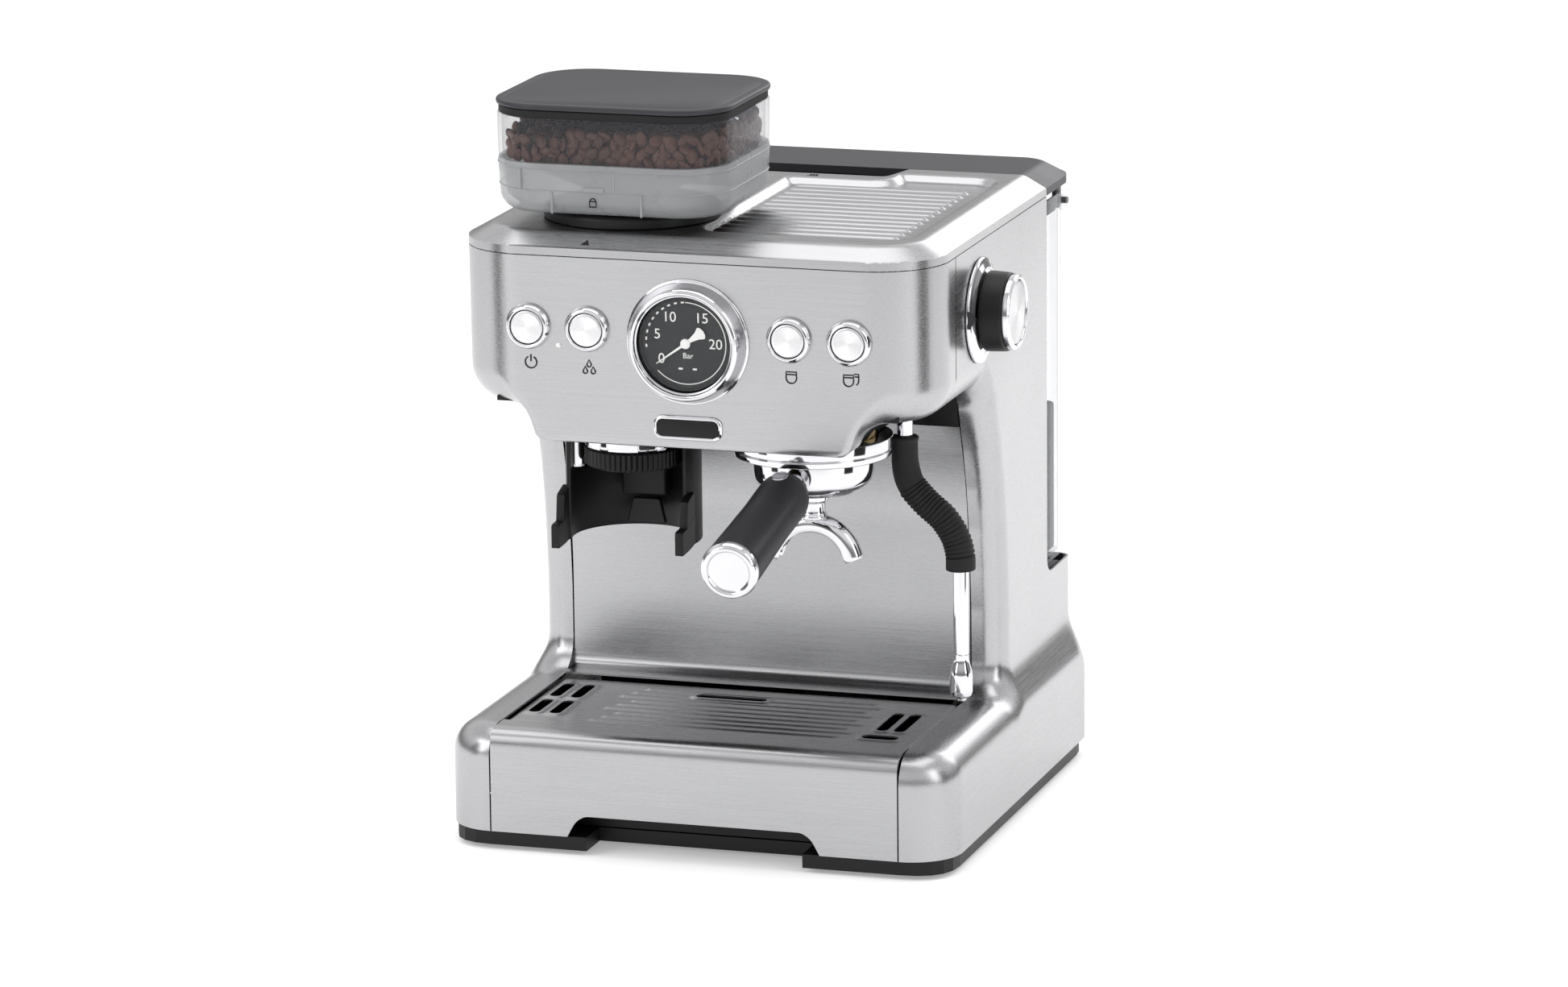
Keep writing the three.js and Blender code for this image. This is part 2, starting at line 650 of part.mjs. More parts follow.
const hopper = group(machine, GRINDER.x, HOPPER_CENTRE_Y, 0);
const hopperRing = (inset, z) => [
  HOPPER_HALF.x - inset,
  HOPPER_HALF.y - inset,
  Math.max(32 - inset, 2),
  z,
];
const neckShift = GRINDER.y - HOPPER_CENTRE_Y;
const hopperBase = cut(
  join(
    tapered([
      hopperRing(7, HOPPER_BOTTOM),
      hopperRing(2.5, HOPPER_BOTTOM + 5),
      hopperRing(1, HOPPER_SEAM),
    ]),
    drum(26, TOP_Z - 6, HOPPER_BOTTOM + 1, "z", 32).translate([0, neckShift, 0]),
  ),
  tapered([
    [28, 28, 20, HOPPER_BOTTOM + 3],
    hopperRing(6, HOPPER_SEAM - 8),
    hopperRing(4, HOPPER_SEAM + 1),
  ]),
  drum(22, TOP_Z - 10, HOPPER_BOTTOM + 6, "z", 32).translate([0, neckShift, 0]),
);
part(hopper, "hopper_base", hopperBase, FROSTED);
const hopperBody = cut(
  tapered([hopperRing(1, HOPPER_SEAM + GAP), hopperRing(0.4, HOPPER_TOP - 8)]),
  tapered([hopperRing(3.4, HOPPER_SEAM - 1), hopperRing(2.8, HOPPER_TOP - 5)]),
);
part(hopper, "hopper_body", hopperBody, CLEAR);
const beanBed = tapered([
  [26, 26, 18, HOPPER_BOTTOM + 6],
  hopperRing(7.5, HOPPER_SEAM - 6),
  hopperRing(5, HOPPER_SEAM + 4),
  hopperRing(5, HOPPER_TOP - 22),
  hopperRing(14, HOPPER_TOP - 15),
]);
part(hopper, "bean_bed", beanBed, BEAN);

// The lid's plug carries its seal, a soft band that grips the hopper's wall.
const hopperLid = join(
  tapered([
    hopperRing(0.4, HOPPER_TOP - 3.2),
    hopperRing(0, HOPPER_TOP - 2.6),
    hopperRing(0.8, HOPPER_TOP),
  ]),
  tapered([hopperRing(0.5, HOPPER_TOP - 7.6), hopperRing(0.5, HOPPER_TOP - 3)]),
  tapered([hopperRing(4.6, HOPPER_TOP - 9), hopperRing(4.6, HOPPER_TOP - 3)]),
);
part(hopper, "hopper_lid", hopperLid, BLACK);

// ---------------------------------------------------------------- grinder
const grinder = group(headGroup, GRINDER.x, GRINDER.y, 0);
const upperBurr = turned([[19, 349], [23.5, 349], [23.5, 360], [12.6, 360]], "z", 24);
part(grinder, "upper_burr", upperBurr, GALVANISED);
const lowerBurr = turned(
  [[0, 334], [4, 334], [4, 341], [19, 341], [19, 346], [11.4, 359], [0, 359]],
  "z",
  24,
);
part(grinder, "lower_burr", lowerBurr, GALVANISED);
const burrHousing = cut(
  drum(31, 336, 349 - GAP, "z", 32),
  drum(23, 339, 360, "z", 32),
  drum(5, 330, 345, "z", 16),
  box(-9, 9, -40, -15, 339.5, 360),
);
part(grinder, "grinder_motor", drum(29, 273, 333, "z", 28), GALVANISED);
const chuteFront = -38;
const chute = cut(
  join(
    box(-12, 12, chuteFront - 16, chuteFront, 262, 349 - GAP),
    box(-12, 12, chuteFront - 16, -27, 338, 349 - GAP),
    prismX([[-16, 249], [8, 249], [-20, 268], [chuteFront - 16, 268], [chuteFront - 16, 262]], -12, 12),
  ),
  box(-9.5, 9.5, chuteFront - 13.5, chuteFront - 2.5, 262, 346),
  box(-9.5, 9.5, chuteFront - 13.5, -20, 340.5, 346),
  prismX([[-13, 240], [5, 240], [-22, 266], [-50, 266], [-50, 262]], -9.5, 9.5),
);
part(grinder, "burr_housing", join(burrHousing, chute), BLACK);

// Under the head: the grinder's outlet with its ribbed lock ring and the portafilter cradle.
const outlet = group(headGroup, OUTLET.x, OUTLET.y, 0);
const post = turned(
  [[0, 219.5], [5.4, 219.5], [5.8, 221], [5.8, APRON_Z - 0.4], [0, APRON_Z - 0.4]],
  "z",
  20,
).translate([-35, 0, 0]);
const postWeb = box(-35, -24, -4, 4, 239, APRON_Z - 0.4);
const outletRing = join(pipe(28.6, 22, OUTLET.z, APRON_Z, "z", 40), post, postWeb);
part(outlet, "outlet_ring", outletRing, CHROME);
const lockRingBottom = 222.7;
const ribs = [];
for (let i = 0; i < 18; i += 1) {
  const angle = (i / 18) * 360;
  ribs.push(box(27, 28.8, -0.9, 0.9, lockRingBottom + 0.5, OUTLET.z - 1).rotate([0, 0, angle]));
}
const lockRing = join(pipe(27.6, 19, lockRingBottom, OUTLET.z - GAP, "z", 28), ...ribs);
part(outlet, "outlet_lock_ring", lockRing, BLACK);
// The cradle is a deep sleeve round the outlet, open at the front, with a stepped fork arm on each side.
const sleeveBottom = 177.5;
const sleeveTop = APRON_Z - 0.4;
const sleeve = cut(
  pipe(40, 36, sleeveBottom, sleeveTop, "z", 32),
  box(-60, 60, -60, -14, sleeveBottom - 5, sleeveTop + 5),
);
// A half shelf inside the sleeve, under the lock ring.
const sleeveShelf = cut(
  pipe(37, 18, 217.4, lockRingBottom - 0.5, "z", 32),
  box(-60, 60, -60, 0, 210, 230),
);
const postHole = drum(6.4, 210, sleeveTop + 5, "z", 16).translate([-35, 0, 0]);
const arms = [-1, 1].map((side) =>
  prismX(
    [[-32, 176, 2], [-22, 177, 2], [-8, 178], [-8, 210], [-22, 206, 2], [-24, 191, 1], [-32, 190, 2]],
    side * 38 - 2.5,
    side * 38 + 2.5,
    3,
  ),
);
const stemHole = box(-5, 5, 30, 45, 185, 193);
const cradle = cut(join(sleeve, sleeveShelf, ...arms), postHole, stemHole);
part(outlet, "portafilter_cradle", cradle, BLACK);
const paddle = prismY(
  [[-12, 181.5, 2], [12, 181.5, 2], [8, 196.5], [-8, 196.5]],
  22,
  25,
);
const paddleStem = box(-4, 4, 24.5, 35.4, 186, 192);
part(outlet, "grind_switch_paddle", join(paddle, paddleStem), BLACK);

// ---------------------------------------------------------------- brew group
const brew = group(headGroup, GROUP.x, GROUP.y, 0);
const collar = turned(
  [[37.4, GROUP.z], [45.6, GROUP.z], [46.7, GROUP.z + 1.2], [46.7, APRON_Z], [37.4, APRON_Z]],
  "z",
  36,
);
part(brew, "group_collar", collar, CHROME);
const groupHead = cut(
  join(drum(37, 243, 262, "z", 36), drum(20, 262, 286, "z", 24)),
  drum(30.5, 240, 252, "z", 36),
  drum(3, 240, 290, "z", 12),
);
part(brew, "group_head", groupHead, BRASS);
const screen = join(drum(25.8, 247, 248.4, "z", 36), drum(4, 248, 251.6, "z", 16));
part(brew, "shower_screen", screen, GALVANISED);

// ---------------------------------------------------------------- portafilter
const filter = group(machine, GROUP.x, GROUP.y, 0);
const lugs = [-1, 1].map((side) =>
  box(side > 0 ? 30.5 : -35.8, side > 0 ? 35.8 : -30.5, -7, 7, 236, 240),
);
const bowl = join(
  turned(
    [
      [4, 211],
      [14, 211],
      [28, 214.5],
      [34.6, 222],
      [35.6, 233.5],
      [31.5, 234.5],
      [31.5, 241],
      [29.6, 241],
      [29.6, 217],
      [4, 215],
    ],
    "z",
    32,
  ),
  ...lugs,
);
const basket = turned(
  [
    [0, 219.5],
    [27, 219.5],
    [28.8, 221.4],
    [29.2, 241.4],
    [31.4, 241.4],
    [31.4, 242.6],
    [28.2, 242.6],
    [27.8, 222],
    [26.4, 220.6],
    [0, 220.6],
  ],
  "z",
  28,
);
part(filter, "filter_basket", basket, GALVANISED);
const stem = turned(
  [[0, 196], [8.5, 196], [7, 203], [7, 207], [9.5, 208], [9.5, 210.6], [3.6, 210.6], [3.6, 216], [0, 216]],
  "z",
  24,
);
const spoutArc = swept(
  [[-22, 0, 173], [-20, 0, 183], [-11, 0, 193], [0, 0, 197], [11, 0, 193], [20, 0, 183], [22, 0, 173]],
  6.6,
  12,
  20,
);
part(filter, "twin_spout", join(stem, spoutArc), CHROME);

const HANDLE_DROOP = 10.5; // degrees below level
const HANDLE_ROOT = [0, -34, 225];
const handle = group(filter, ...HANDLE_ROOT);
handle.rotation.x = THREE.MathUtils.degToRad(HANDLE_DROOP);
const neck = turned([[0, -3], [8.5, -3], [9.6, 8], [10.6, 14], [0, 14]], "y", 24)
  .rotate([0, 0, 180])
  .rotate([HANDLE_DROOP, 0, 0])
  .translate(HANDLE_ROOT);
part(filter, "portafilter_bowl", cut(bowl.add(neck), drum(29.6, 217, 250, "z", 32)), CHROME);
const grip = turned(
  [[0, 14.4], [12, 14.4], [14.8, 18], [15.6, 28], [15.2, 60], [16, 100], [16.4, 124], [0, 124]],
  "y",
  28,
).rotate([0, 0, 180]);
part(handle, "portafilter_handle", grip, BLACK);
const cap = turned(
  [[0, 124.4], [16.7, 124.4], [16.9, 129], [15.6, 131], [12.4, 130], [12, 129.4], [0, 129.4]],
  "y",
  32,
).rotate([0, 0, 180]);
part(handle, "handle_end_cap", cap, CHROME);

// ---------------------------------------------------------------- steam wand
const wand = group(machine, WAND.x, WAND.y, 0);
const pivot = turned([[0, 254], [6, 254], [7.4, 258], [7.4, 272], [5, 276], [0, 276]], "z", 20);
const steamPipe = join(pivot, drum(4.6, 225, 256, "z", 16));
part(wand, "steam_pipe", steamPipe, CHROME);
const gripLine = [
  [0, 0, 241],
  [0, 0, 225],
  [3, 0, 212],
  [12, 0, 202],
  [24, 0, 192],
  [32, 0, 179],
  [WAND_REACH, 0, 163],
];
const gripHole = drum(5, 220, 250, "z", 16);
const endHole = drum(4.9, 155, 170, "z", 16).translate([WAND_REACH, 0, 0]);
part(wand, "wand_grip", cut(swept(gripLine, 8.4, 12, 26), gripHole, endHole), RUBBER);
const lowerWand = group(wand, WAND_REACH, 0, 0);
const tip = turned(
  [[0, 84], [2.6, 84], [3.4, 87], [6.6, 89], [7, 92], [6.4, 104], [4.5, 112], [4.5, 169.6], [0, 169.6]],
  "z",
  20,
);
part(lowerWand, "wand_tube", tip, CHROME);

// ---------------------------------------------------------------- steam knob and valve
const knob = group(machine, KNOB.x, KNOB.y, KNOB.z);
part(knob, "knob_ring", pipe(31, 7, GAP, 4.6, "x", 32), CHROME);
const barrel = turned([[0, 5], [23, 5], [23.6, 6.5], [23, 19], [0, 19]], "x", 36);
part(knob, "steam_knob", barrel.add(drum(4, -26, 9, "x", 16)), BLACK);
const knobCap = turned([[0, 19.3], [22, 19.3], [22, 22.5], [20.8, 23.6], [0, 23.6]], "x", 36);
part(knob, "steam_knob_cap", knobCap, CHROME);
const valveBody = cut(
  join(drum(11, -40, -9, "x", 20), drum(5.5, -46, -9, "z", 16).translate([-30, 0, 0])),
  drum(4.4, -27, 0, "x", 16),
);
part(knob, "steam_valve", valveBody, BRASS);

// ---------------------------------------------------------------- controls on the leaning front
const controls = group(headGroup, 0, HEAD_FRONT + HEAD_LEAN * (SEAM_Z - BUTTON_Z), BUTTON_Z);
controls.rotation.x = Math.atan(HEAD_LEAN);
for (const [side, pair] of [["left", ["power", "purge"]], ["right", ["single", "double"]]]) {
  const [first, second] = pair.map((name) => BUTTONS[name]);
  const rings = [first, second].map((x) =>
    join(pipe(13.6, 10.4, -2.6, -GAP, "y", 20), pipe(11.2, 10.4, -1, 7, "y", 20)).translate([x, 0, 0]),
  );
  const plate = cut(
    box(first - 12, second + 12, 6, 8, -12, 12),
    ...[first, second].map((x) => drum(10.4, 0, 9, "y", 20).translate([x, 0, 0])),
    drum(2.2, 0, 9, "y", 8).translate([-78.6, 0, 304.3 - BUTTON_Z]),
  );
  part(controls, `button_bezels_${side}`, join(plate, ...rings), CHROME);
}
for (const [name, x] of Object.entries(BUTTONS)) {
  const place = group(controls, x, 0, 0);
  part(
    place,
    `${name}_button`,
    turned([[0, -4.4], [9.2, -4.4], [10, -3.6], [10, 10], [0, 10]], "y", 20),
    BRUSHED,
  );
}
part(
  group(controls, -78.6, 0, 304.3 - BUTTON_Z),
  "status_lamp",
  turned([[0, -0.9], [1.2, -0.7], [1.6, 0], [1.6, 5], [0, 5]], "y", 8),
  WHITE,
);
const gauge = group(controls, 0, 0, GAUGE_Z - BUTTON_Z);
const gaugeBezel = turned(
  [[GAUGE_BODY, -0.4], [36.8, -0.4], [36.6, -2.4], [32.4, -10.5], [30.8, -11.5], [29, -10.8], [28.2, -6.5]],
  "y",
  36,
);
part(gauge, "gauge_bezel", gaugeBezel, CHROME);
const gaugeCup = cut(
  drum(GAUGE_BODY - 1.3, -5.6, 16, "y", 40),
  drum(26.6, -10, -3.6, "y", 40),
  drum(1.3, -10, 0, "y", 12),
);
part(gauge, "gauge_dial", gaugeCup, DIAL);
part(gauge, "gauge_glass", drum(GAUGE_BODY - 1.3, -8.2, -6.6, "y", 40), CLEAR);
const needle = join(
  drum(2.6, -5.3, -4.6, "y", 16),
  drum(1, -5, -1, "y", 12),
  prismY([[-0.6, -21], [0.6, -21], [1.8, 8], [4, 12], [-4, 12], [-1.8, 8]], -5.3, -4.7).rotate([0, 55, 0]),
);
part(gauge, "gauge_needle", needle, WHITE);
const badge = group(headGroup, 0, HEAD_FRONT + HEAD_LEAN * (SEAM_Z - 258.8), 258.8);
part(badge, "badge_plate", prismY(rectangle(-20.6, 20.6, -7, 7, 4), -2.4, -GAP, 4), BLACK);

// ---------------------------------------------------------------- works inside
const works = group(machine, 0, 0, 0);
part(works, "thermoblock", join(
  box(24, 92, -42, 30, 292, 330),
  drum(7, 330, 340, "z", 16).translate([58, 0, 0]),
), ALUMINIUM);
const pump = join(
  drum(17, -42, 10, "x", 24),
  drum(8, -62, 34, "x", 16),
).translate([50, 60, 42]);
part(works, "pump", pump, GALVANISED);
part(works, "solenoid_valve", join(
  box(-14, 10, -30, -4, 276, 300),
  drum(7, 300, 326, "z", 16).translate([-2, -17, 0]),
), BRASS);
part(works, "control_board", box(-128, -40, 92, 94, 240, 340), BOARD);
part(works, "feed_hose", swept(
  [[86, 60, 42], [98, 60, 46], [104, 62, 70], [104, 66, 160], [100, 50, 260], [96, 36, 300], [80, 34, 312]],
  3,
  8,
  26,
), WHITE);

machine.updateMatrixWorld(true);
const bounds = new THREE.Box3().setFromObject(machine);
machine.position.set(-(bounds.min.x + bounds.max.x) / 2, -(bounds.min.y + bounds.max.y) / 2, 0);

const espressoMachine = new THREE.Group();
espressoMachine.add(machine);
export default espressoMachine;
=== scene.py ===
"""Espresso machine: the visible pieces, materials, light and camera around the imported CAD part.

Sizes are in millimetres in the machine's own axes (X = 0 is its mid-plane, Z = 0 the worktop) and are
turned into the row frame's metres when a mesh is made. The front faces -Y.
"""
import json
import math
import random

import bmesh
import bpy
import numpy as np
from mathutils import Matrix, Vector
from mathutils.bvhtree import BVHTree


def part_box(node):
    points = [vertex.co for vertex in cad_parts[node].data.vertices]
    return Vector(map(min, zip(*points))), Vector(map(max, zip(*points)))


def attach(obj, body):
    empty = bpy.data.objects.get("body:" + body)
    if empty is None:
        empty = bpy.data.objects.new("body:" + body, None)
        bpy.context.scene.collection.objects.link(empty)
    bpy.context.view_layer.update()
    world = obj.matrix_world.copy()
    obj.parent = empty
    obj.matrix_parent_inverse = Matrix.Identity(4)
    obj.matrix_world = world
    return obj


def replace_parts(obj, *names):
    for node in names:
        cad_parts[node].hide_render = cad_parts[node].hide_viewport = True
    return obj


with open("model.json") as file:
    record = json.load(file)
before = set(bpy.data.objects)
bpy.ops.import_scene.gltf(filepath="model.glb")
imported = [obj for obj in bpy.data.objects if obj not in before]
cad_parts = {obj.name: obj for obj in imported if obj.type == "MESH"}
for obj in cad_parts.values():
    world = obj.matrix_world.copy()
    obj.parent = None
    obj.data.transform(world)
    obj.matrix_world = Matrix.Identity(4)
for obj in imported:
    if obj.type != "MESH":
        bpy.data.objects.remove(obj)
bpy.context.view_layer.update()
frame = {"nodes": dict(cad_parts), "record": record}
nodes = frame["nodes"]

MM = 0.001
tray_low, tray_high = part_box("drip_tray_front")
TRAY_FRONT = -146.2  # front of the drip tray
PANEL_FRONT = -144.3  # front edge of the head, where the panel meets the top cover
ORIGIN = Vector(((tray_low.x + tray_high.x) / 2, tray_low.y - TRAY_FRONT * MM, 0))

# ---------------------------------------------------------------- sizes shared by several pieces
LEAN = 0.028  # the front panel leans back this much per mm going down
SEAM_Z = 356.4
TOP_Z = 369.1
BODY_HALF = 144.3
BASE_HALF = 155.0
SHELF_Z = 73.0
GROUP = (55, -81)
OUTLET = (-55, -81)
GRINDER = (-56, -72)
KNOB = (144.3, -40.0, 316.0)


def row(x, y, z):
    """A point of the machine, in mm, as a point of the row frame, in metres."""
    return ORIGIN + Vector((x, y, z)) * MM


# ---------------------------------------------------------------- materials
def new_material(name):
    made = bpy.data.materials.new(name)
    made.use_nodes = True
    tree = made.node_tree
    tree.nodes.clear()
    shader = tree.nodes.new("ShaderNodeBsdfPrincipled")
    out = tree.nodes.new("ShaderNodeOutputMaterial")
    tree.links.new(shader.outputs["BSDF"], out.inputs["Surface"])
    return made, tree, shader


def noise(tree, scale, detail=4.0, stretch=(1, 1, 1), rough=0.6):
    """Noise in the object's own metres, drawn out along an axis by a small stretch value."""
    place = tree.nodes.new("ShaderNodeTexCoord")
    mapping = tree.nodes.new("ShaderNodeMapping")
    mapping.inputs["Scale"].default_value = stretch
    tree.links.new(place.outputs["Object"], mapping.inputs["Vector"])
    grain = tree.nodes.new("ShaderNodeTexNoise")
    grain.inputs["Scale"].default_value = scale
    grain.inputs["Detail"].default_value = detail
    grain.inputs["Roughness"].default_value = rough
    tree.links.new(mapping.outputs["Vector"], grain.inputs["Vector"])
    return grain.outputs["Fac"]


def spread(tree, value, low, high):
    """Spreads a noise value over a range, as a link for one socket."""
    node = tree.nodes.new("ShaderNodeMapRange")
    node.inputs["From Min"].default_value = 0.3
    node.inputs["From Max"].default_value = 0.7
    node.inputs["To Min"].default_value = low
    node.inputs["To Max"].default_value = high
    tree.links.new(value, node.inputs["Value"])
    return node.outputs["Result"]


def tint(tree, shader, value, low, high):
    """Base colour between two colours, by a noise value."""
    ramp = tree.nodes.new("ShaderNodeValToRGB")
    ramp.color_ramp.elements[0].position = 0.3
    ramp.color_ramp.elements[1].position = 0.7
    ramp.color_ramp.elements[0].color = (*low, 1)
    ramp.color_ramp.elements[1].color = (*high, 1)
    tree.links.new(value, ramp.inputs["Fac"])
    tree.links.new(ramp.outputs["Color"], shader.inputs["Base Color"])


def bump(tree, shader, height, strength, distance):
    node = tree.nodes.new("ShaderNodeBump")
    node.inputs["Strength"].default_value = strength
    node.inputs["Distance"].default_value = distance
    tree.links.new(height, node.inputs["Height"])
    tree.links.new(node.outputs["Normal"], shader.inputs["Normal"])


def brushed(name, color, rough, along="x", depth=0.06, contrast=0.035):
    """Steel brushed along one axis: fine long scratches over slow, cloudy changes of gloss."""
    made, tree, shader = new_material(name)
    shader.inputs["Metallic"].default_value = 1.0
    stretch = {"x": (0.012, 1, 1), "y": (1, 0.012, 1), "z": (1, 1, 0.012)}[along]
    scratch = noise(tree, 1500, 3, stretch, 0.7)
    cloud = noise(tree, 9, 3)
    low = tuple(c - contrast for c in color)
    high = tuple(min(1, c + contrast) for c in color)
    tint(tree, shader, scratch, low, high)
    add = tree.nodes.new("ShaderNodeMath")
    add.operation = "ADD"
    tree.links.new(spread(tree, scratch, rough - 0.04, rough + 0.05), add.inputs[0])
    tree.links.new(spread(tree, cloud, -0.02, 0.03), add.inputs[1])
    tree.links.new(add.outputs[0], shader.inputs["Roughness"])
    bump(tree, shader, scratch, depth, 0.0002)
    return made


def polished(name, color, rough=0.045):
    """Chrome: almost mirror, with faint wiping marks in its gloss."""
    made, tree, shader = new_material(name)
    shader.inputs["Metallic"].default_value = 1.0
    marks = noise(tree, 60, 5)
    tint(tree, shader, marks, tuple(c - 0.02 for c in color), color)
    tree.links.new(spread(tree, marks, rough, rough + 0.05), shader.inputs["Roughness"])
    return made


def cast(name, color, rough, metal, scale=500, depth=0.15, vary=0.15):
    """Moulded or cast stuff: fine grain in relief, and slow changes of colour and gloss."""
    made, tree, shader = new_material(name)
    shader.inputs["Metallic"].default_value = metal
    shader.inputs["Specular IOR Level"].default_value = 0.28
    grain = noise(tree, scale, 3)
    cloud = noise(tree, 14, 3)
    tint(tree, shader, cloud, tuple(c * (1 - vary) for c in color), tuple(c * (1 + vary) for c in color))
    tree.links.new(spread(tree, cloud, rough - 0.04, rough + 0.06), shader.inputs["Roughness"])
    bump(tree, shader, grain, depth, 0.0002)
    return made


def spun(name, axis, low, high):
    """Steel turned on a lathe: fine circular marks that spread its highlights into a bow tie."""
    made, tree, shader = new_material(name)
    shader.inputs["Metallic"].default_value = 1.0
    shader.inputs["Anisotropic"].default_value = 0.85
    spin = tree.nodes.new("ShaderNodeTangent")
    spin.direction_type, spin.axis = "RADIAL", axis
    tree.links.new(spin.outputs["Tangent"], shader.inputs["Tangent"])
    marks = noise(tree, 2600, 2)
    tint(tree, shader, marks, low, high)
    tree.links.new(spread(tree, marks, 0.24, 0.32), shader.inputs["Roughness"])
    return made


def clear(name, color, rough, alpha, rim=0.35, ior=1.45, scale=40):
    """Thin clear or frosted plastic, as a see-through coat rather than a refracting block."""
    made, tree, shader = new_material(name)
    edge = tree.nodes.new("ShaderNodeLayerWeight")
    edge.inputs["Blend"].default_value = 0.25
    tree.links.new(spread(tree, edge.outputs["Facing"], alpha, min(1, alpha + rim)), shader.inputs["Alpha"])
    shader.inputs["IOR"].default_value = ior
    haze = noise(tree, scale, 3)
    tint(tree, shader, haze, tuple(c * 0.96 for c in color), color)
    tree.links.new(spread(tree, haze, rough, rough + 0.05), shader.inputs["Roughness"])
    made.surface_render_method = "BLENDED"
    return made


STEEL = (0.44, 0.44, 0.45)
LOOKS = {
    "brushed_steel": brushed("steel_across", STEEL, 0.27),
    "button_steel": brushed("button_face", (0.60, 0.60, 0.61), 0.22, "z", 0.03, 0.02),
    "chrome": polished("chrome", (0.70, 0.70, 0.72)),
    "black_plastic": cast("black_plastic", (0.007, 0.007, 0.008), 0.42, 0),
    "grey_plastic": cast("grey_plastic", (0.036, 0.035, 0.041), 0.38, 0),
    "handle_plastic": cast("handle_plastic", (0.010, 0.009, 0.013), 0.42, 0, 700, 0.1),
    "rubber": cast("rubber", (0.010, 0.010, 0.011), 0.60, 0, 350, 0.2),
    "clear_plastic": clear("clear_plastic", (0.34, 0.35, 0.38), 0.04, 0.06, 0.45),
    "frosted_plastic": clear("frosted_plastic", (0.40, 0.41, 0.42), 0.26, 0.55, 0.25),
    "glass": clear("gauge_glass", (0.5, 0.52, 0.53), 0.02, 0.03, 0.1),
    "beans": cast("beans", (0.060, 0.022, 0.011), 0.36, 0, 300, 0.35, 0.4),
    "brass": cast("brass", (0.55, 0.40, 0.18), 0.34, 1),
    "galvanised": cast("galvanised", (0.42, 0.43, 0.44), 0.38, 1, 120, 0.1),
    "cast_aluminium": cast("cast_aluminium", (0.48, 0.48, 0.49), 0.5, 1, 260, 0.4),
    "dial_black": cast("dial_black", (0.016, 0.016, 0.018), 0.45, 0, 900, 0.05),
    "lamp_white": cast("lamp_white", (0.85, 0.85, 0.83), 0.35, 0, 300, 0.05, 0.02),
    "hose_white": cast("hose_white", (0.62, 0.61, 0.57), 0.35, 0, 200, 0.05, 0.05),
    "circuit_board": cast("circuit_board", (0.02, 0.12, 0.05), 0.4, 0, 400, 0.3, 0.3),
}
STEEL_DEEP = brushed("steel_along", STEEL, 0.27, "y")
for entry in frame["record"]["subparts"]:
    skin = nodes[entry["node"]].data
    skin.materials.clear()
    skin.materials.append(LOOKS[entry["material_slot"]])

# ---------------------------------------------------------------- mesh tools
def build(name, points, faces, body, look, replaces=(), slot=None, thick=0.0, angle=38):
    """A piece from points in machine mm. look is a material, or a slot's name for that slot's own look.
    thick turns a sheet into a wall, grown to its inside."""
    if isinstance(look, str):
        slot, look = look, LOOKS[look]
    mesh = bpy.data.meshes.new(name)
    scaled = np.asarray(points, float) * MM + np.array(ORIGIN)
    mesh.from_pydata([tuple(p) for p in scaled], [], [tuple(int(i) for i in f) for f in faces])
    mesh.validate()
    work = bmesh.new()
    work.from_mesh(mesh)
    bmesh.ops.remove_doubles(work, verts=work.verts, dist=0.00001)
    if thick:
        bmesh.ops.solidify(work, geom=work.faces[:], thickness=thick * MM)
    bmesh.ops.recalc_face_normals(work, faces=work.faces)
    work.to_mesh(mesh)
    work.free()
    mesh.shade_smooth()
    mesh.set_sharp_from_angle(angle=math.radians(angle))
    mesh.materials.append(look)
    made = bpy.data.objects.new(name, mesh)
    bpy.context.scene.collection.objects.link(made)
    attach(made, body)
    if replaces:
        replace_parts(made, *replaces)
    return made


def clip(points, faces, field):
    """Keeps the part of a mesh where field is negative, cutting faces exactly along its zero line."""
    points = [np.asarray(p, float) for p in points]
    value = list(field(np.array(points)))
    cuts, kept = {}, []
    for face in faces:
        if all(value[i] >= 0 for i in face):
            continue
        if all(value[i] < 0 for i in face):
            kept.append(tuple(face))
            continue
        ring = []
        for a, b in zip(face, (*face[1:], face[0])):
            if value[a] < 0:
                ring.append(a)
            if (value[a] < 0) != (value[b] < 0):
                key = (min(a, b), max(a, b))
                if key not in cuts:
                    lo, hi = key
                    share = value[lo] / (value[lo] - value[hi])
                    cuts[key] = len(points)
                    points.append(points[lo] + share * (points[hi] - points[lo]))
                    value.append(0.0)
                ring.append(cuts[key])
        if len(ring) > 2:
            kept.append(tuple(ring))
    used = sorted({i for f in kept for i in f})
    order = {old: new for new, old in enumerate(used)}
    return np.array([points[i] for i in used]), [tuple(order[i] for i in f) for f in kept]


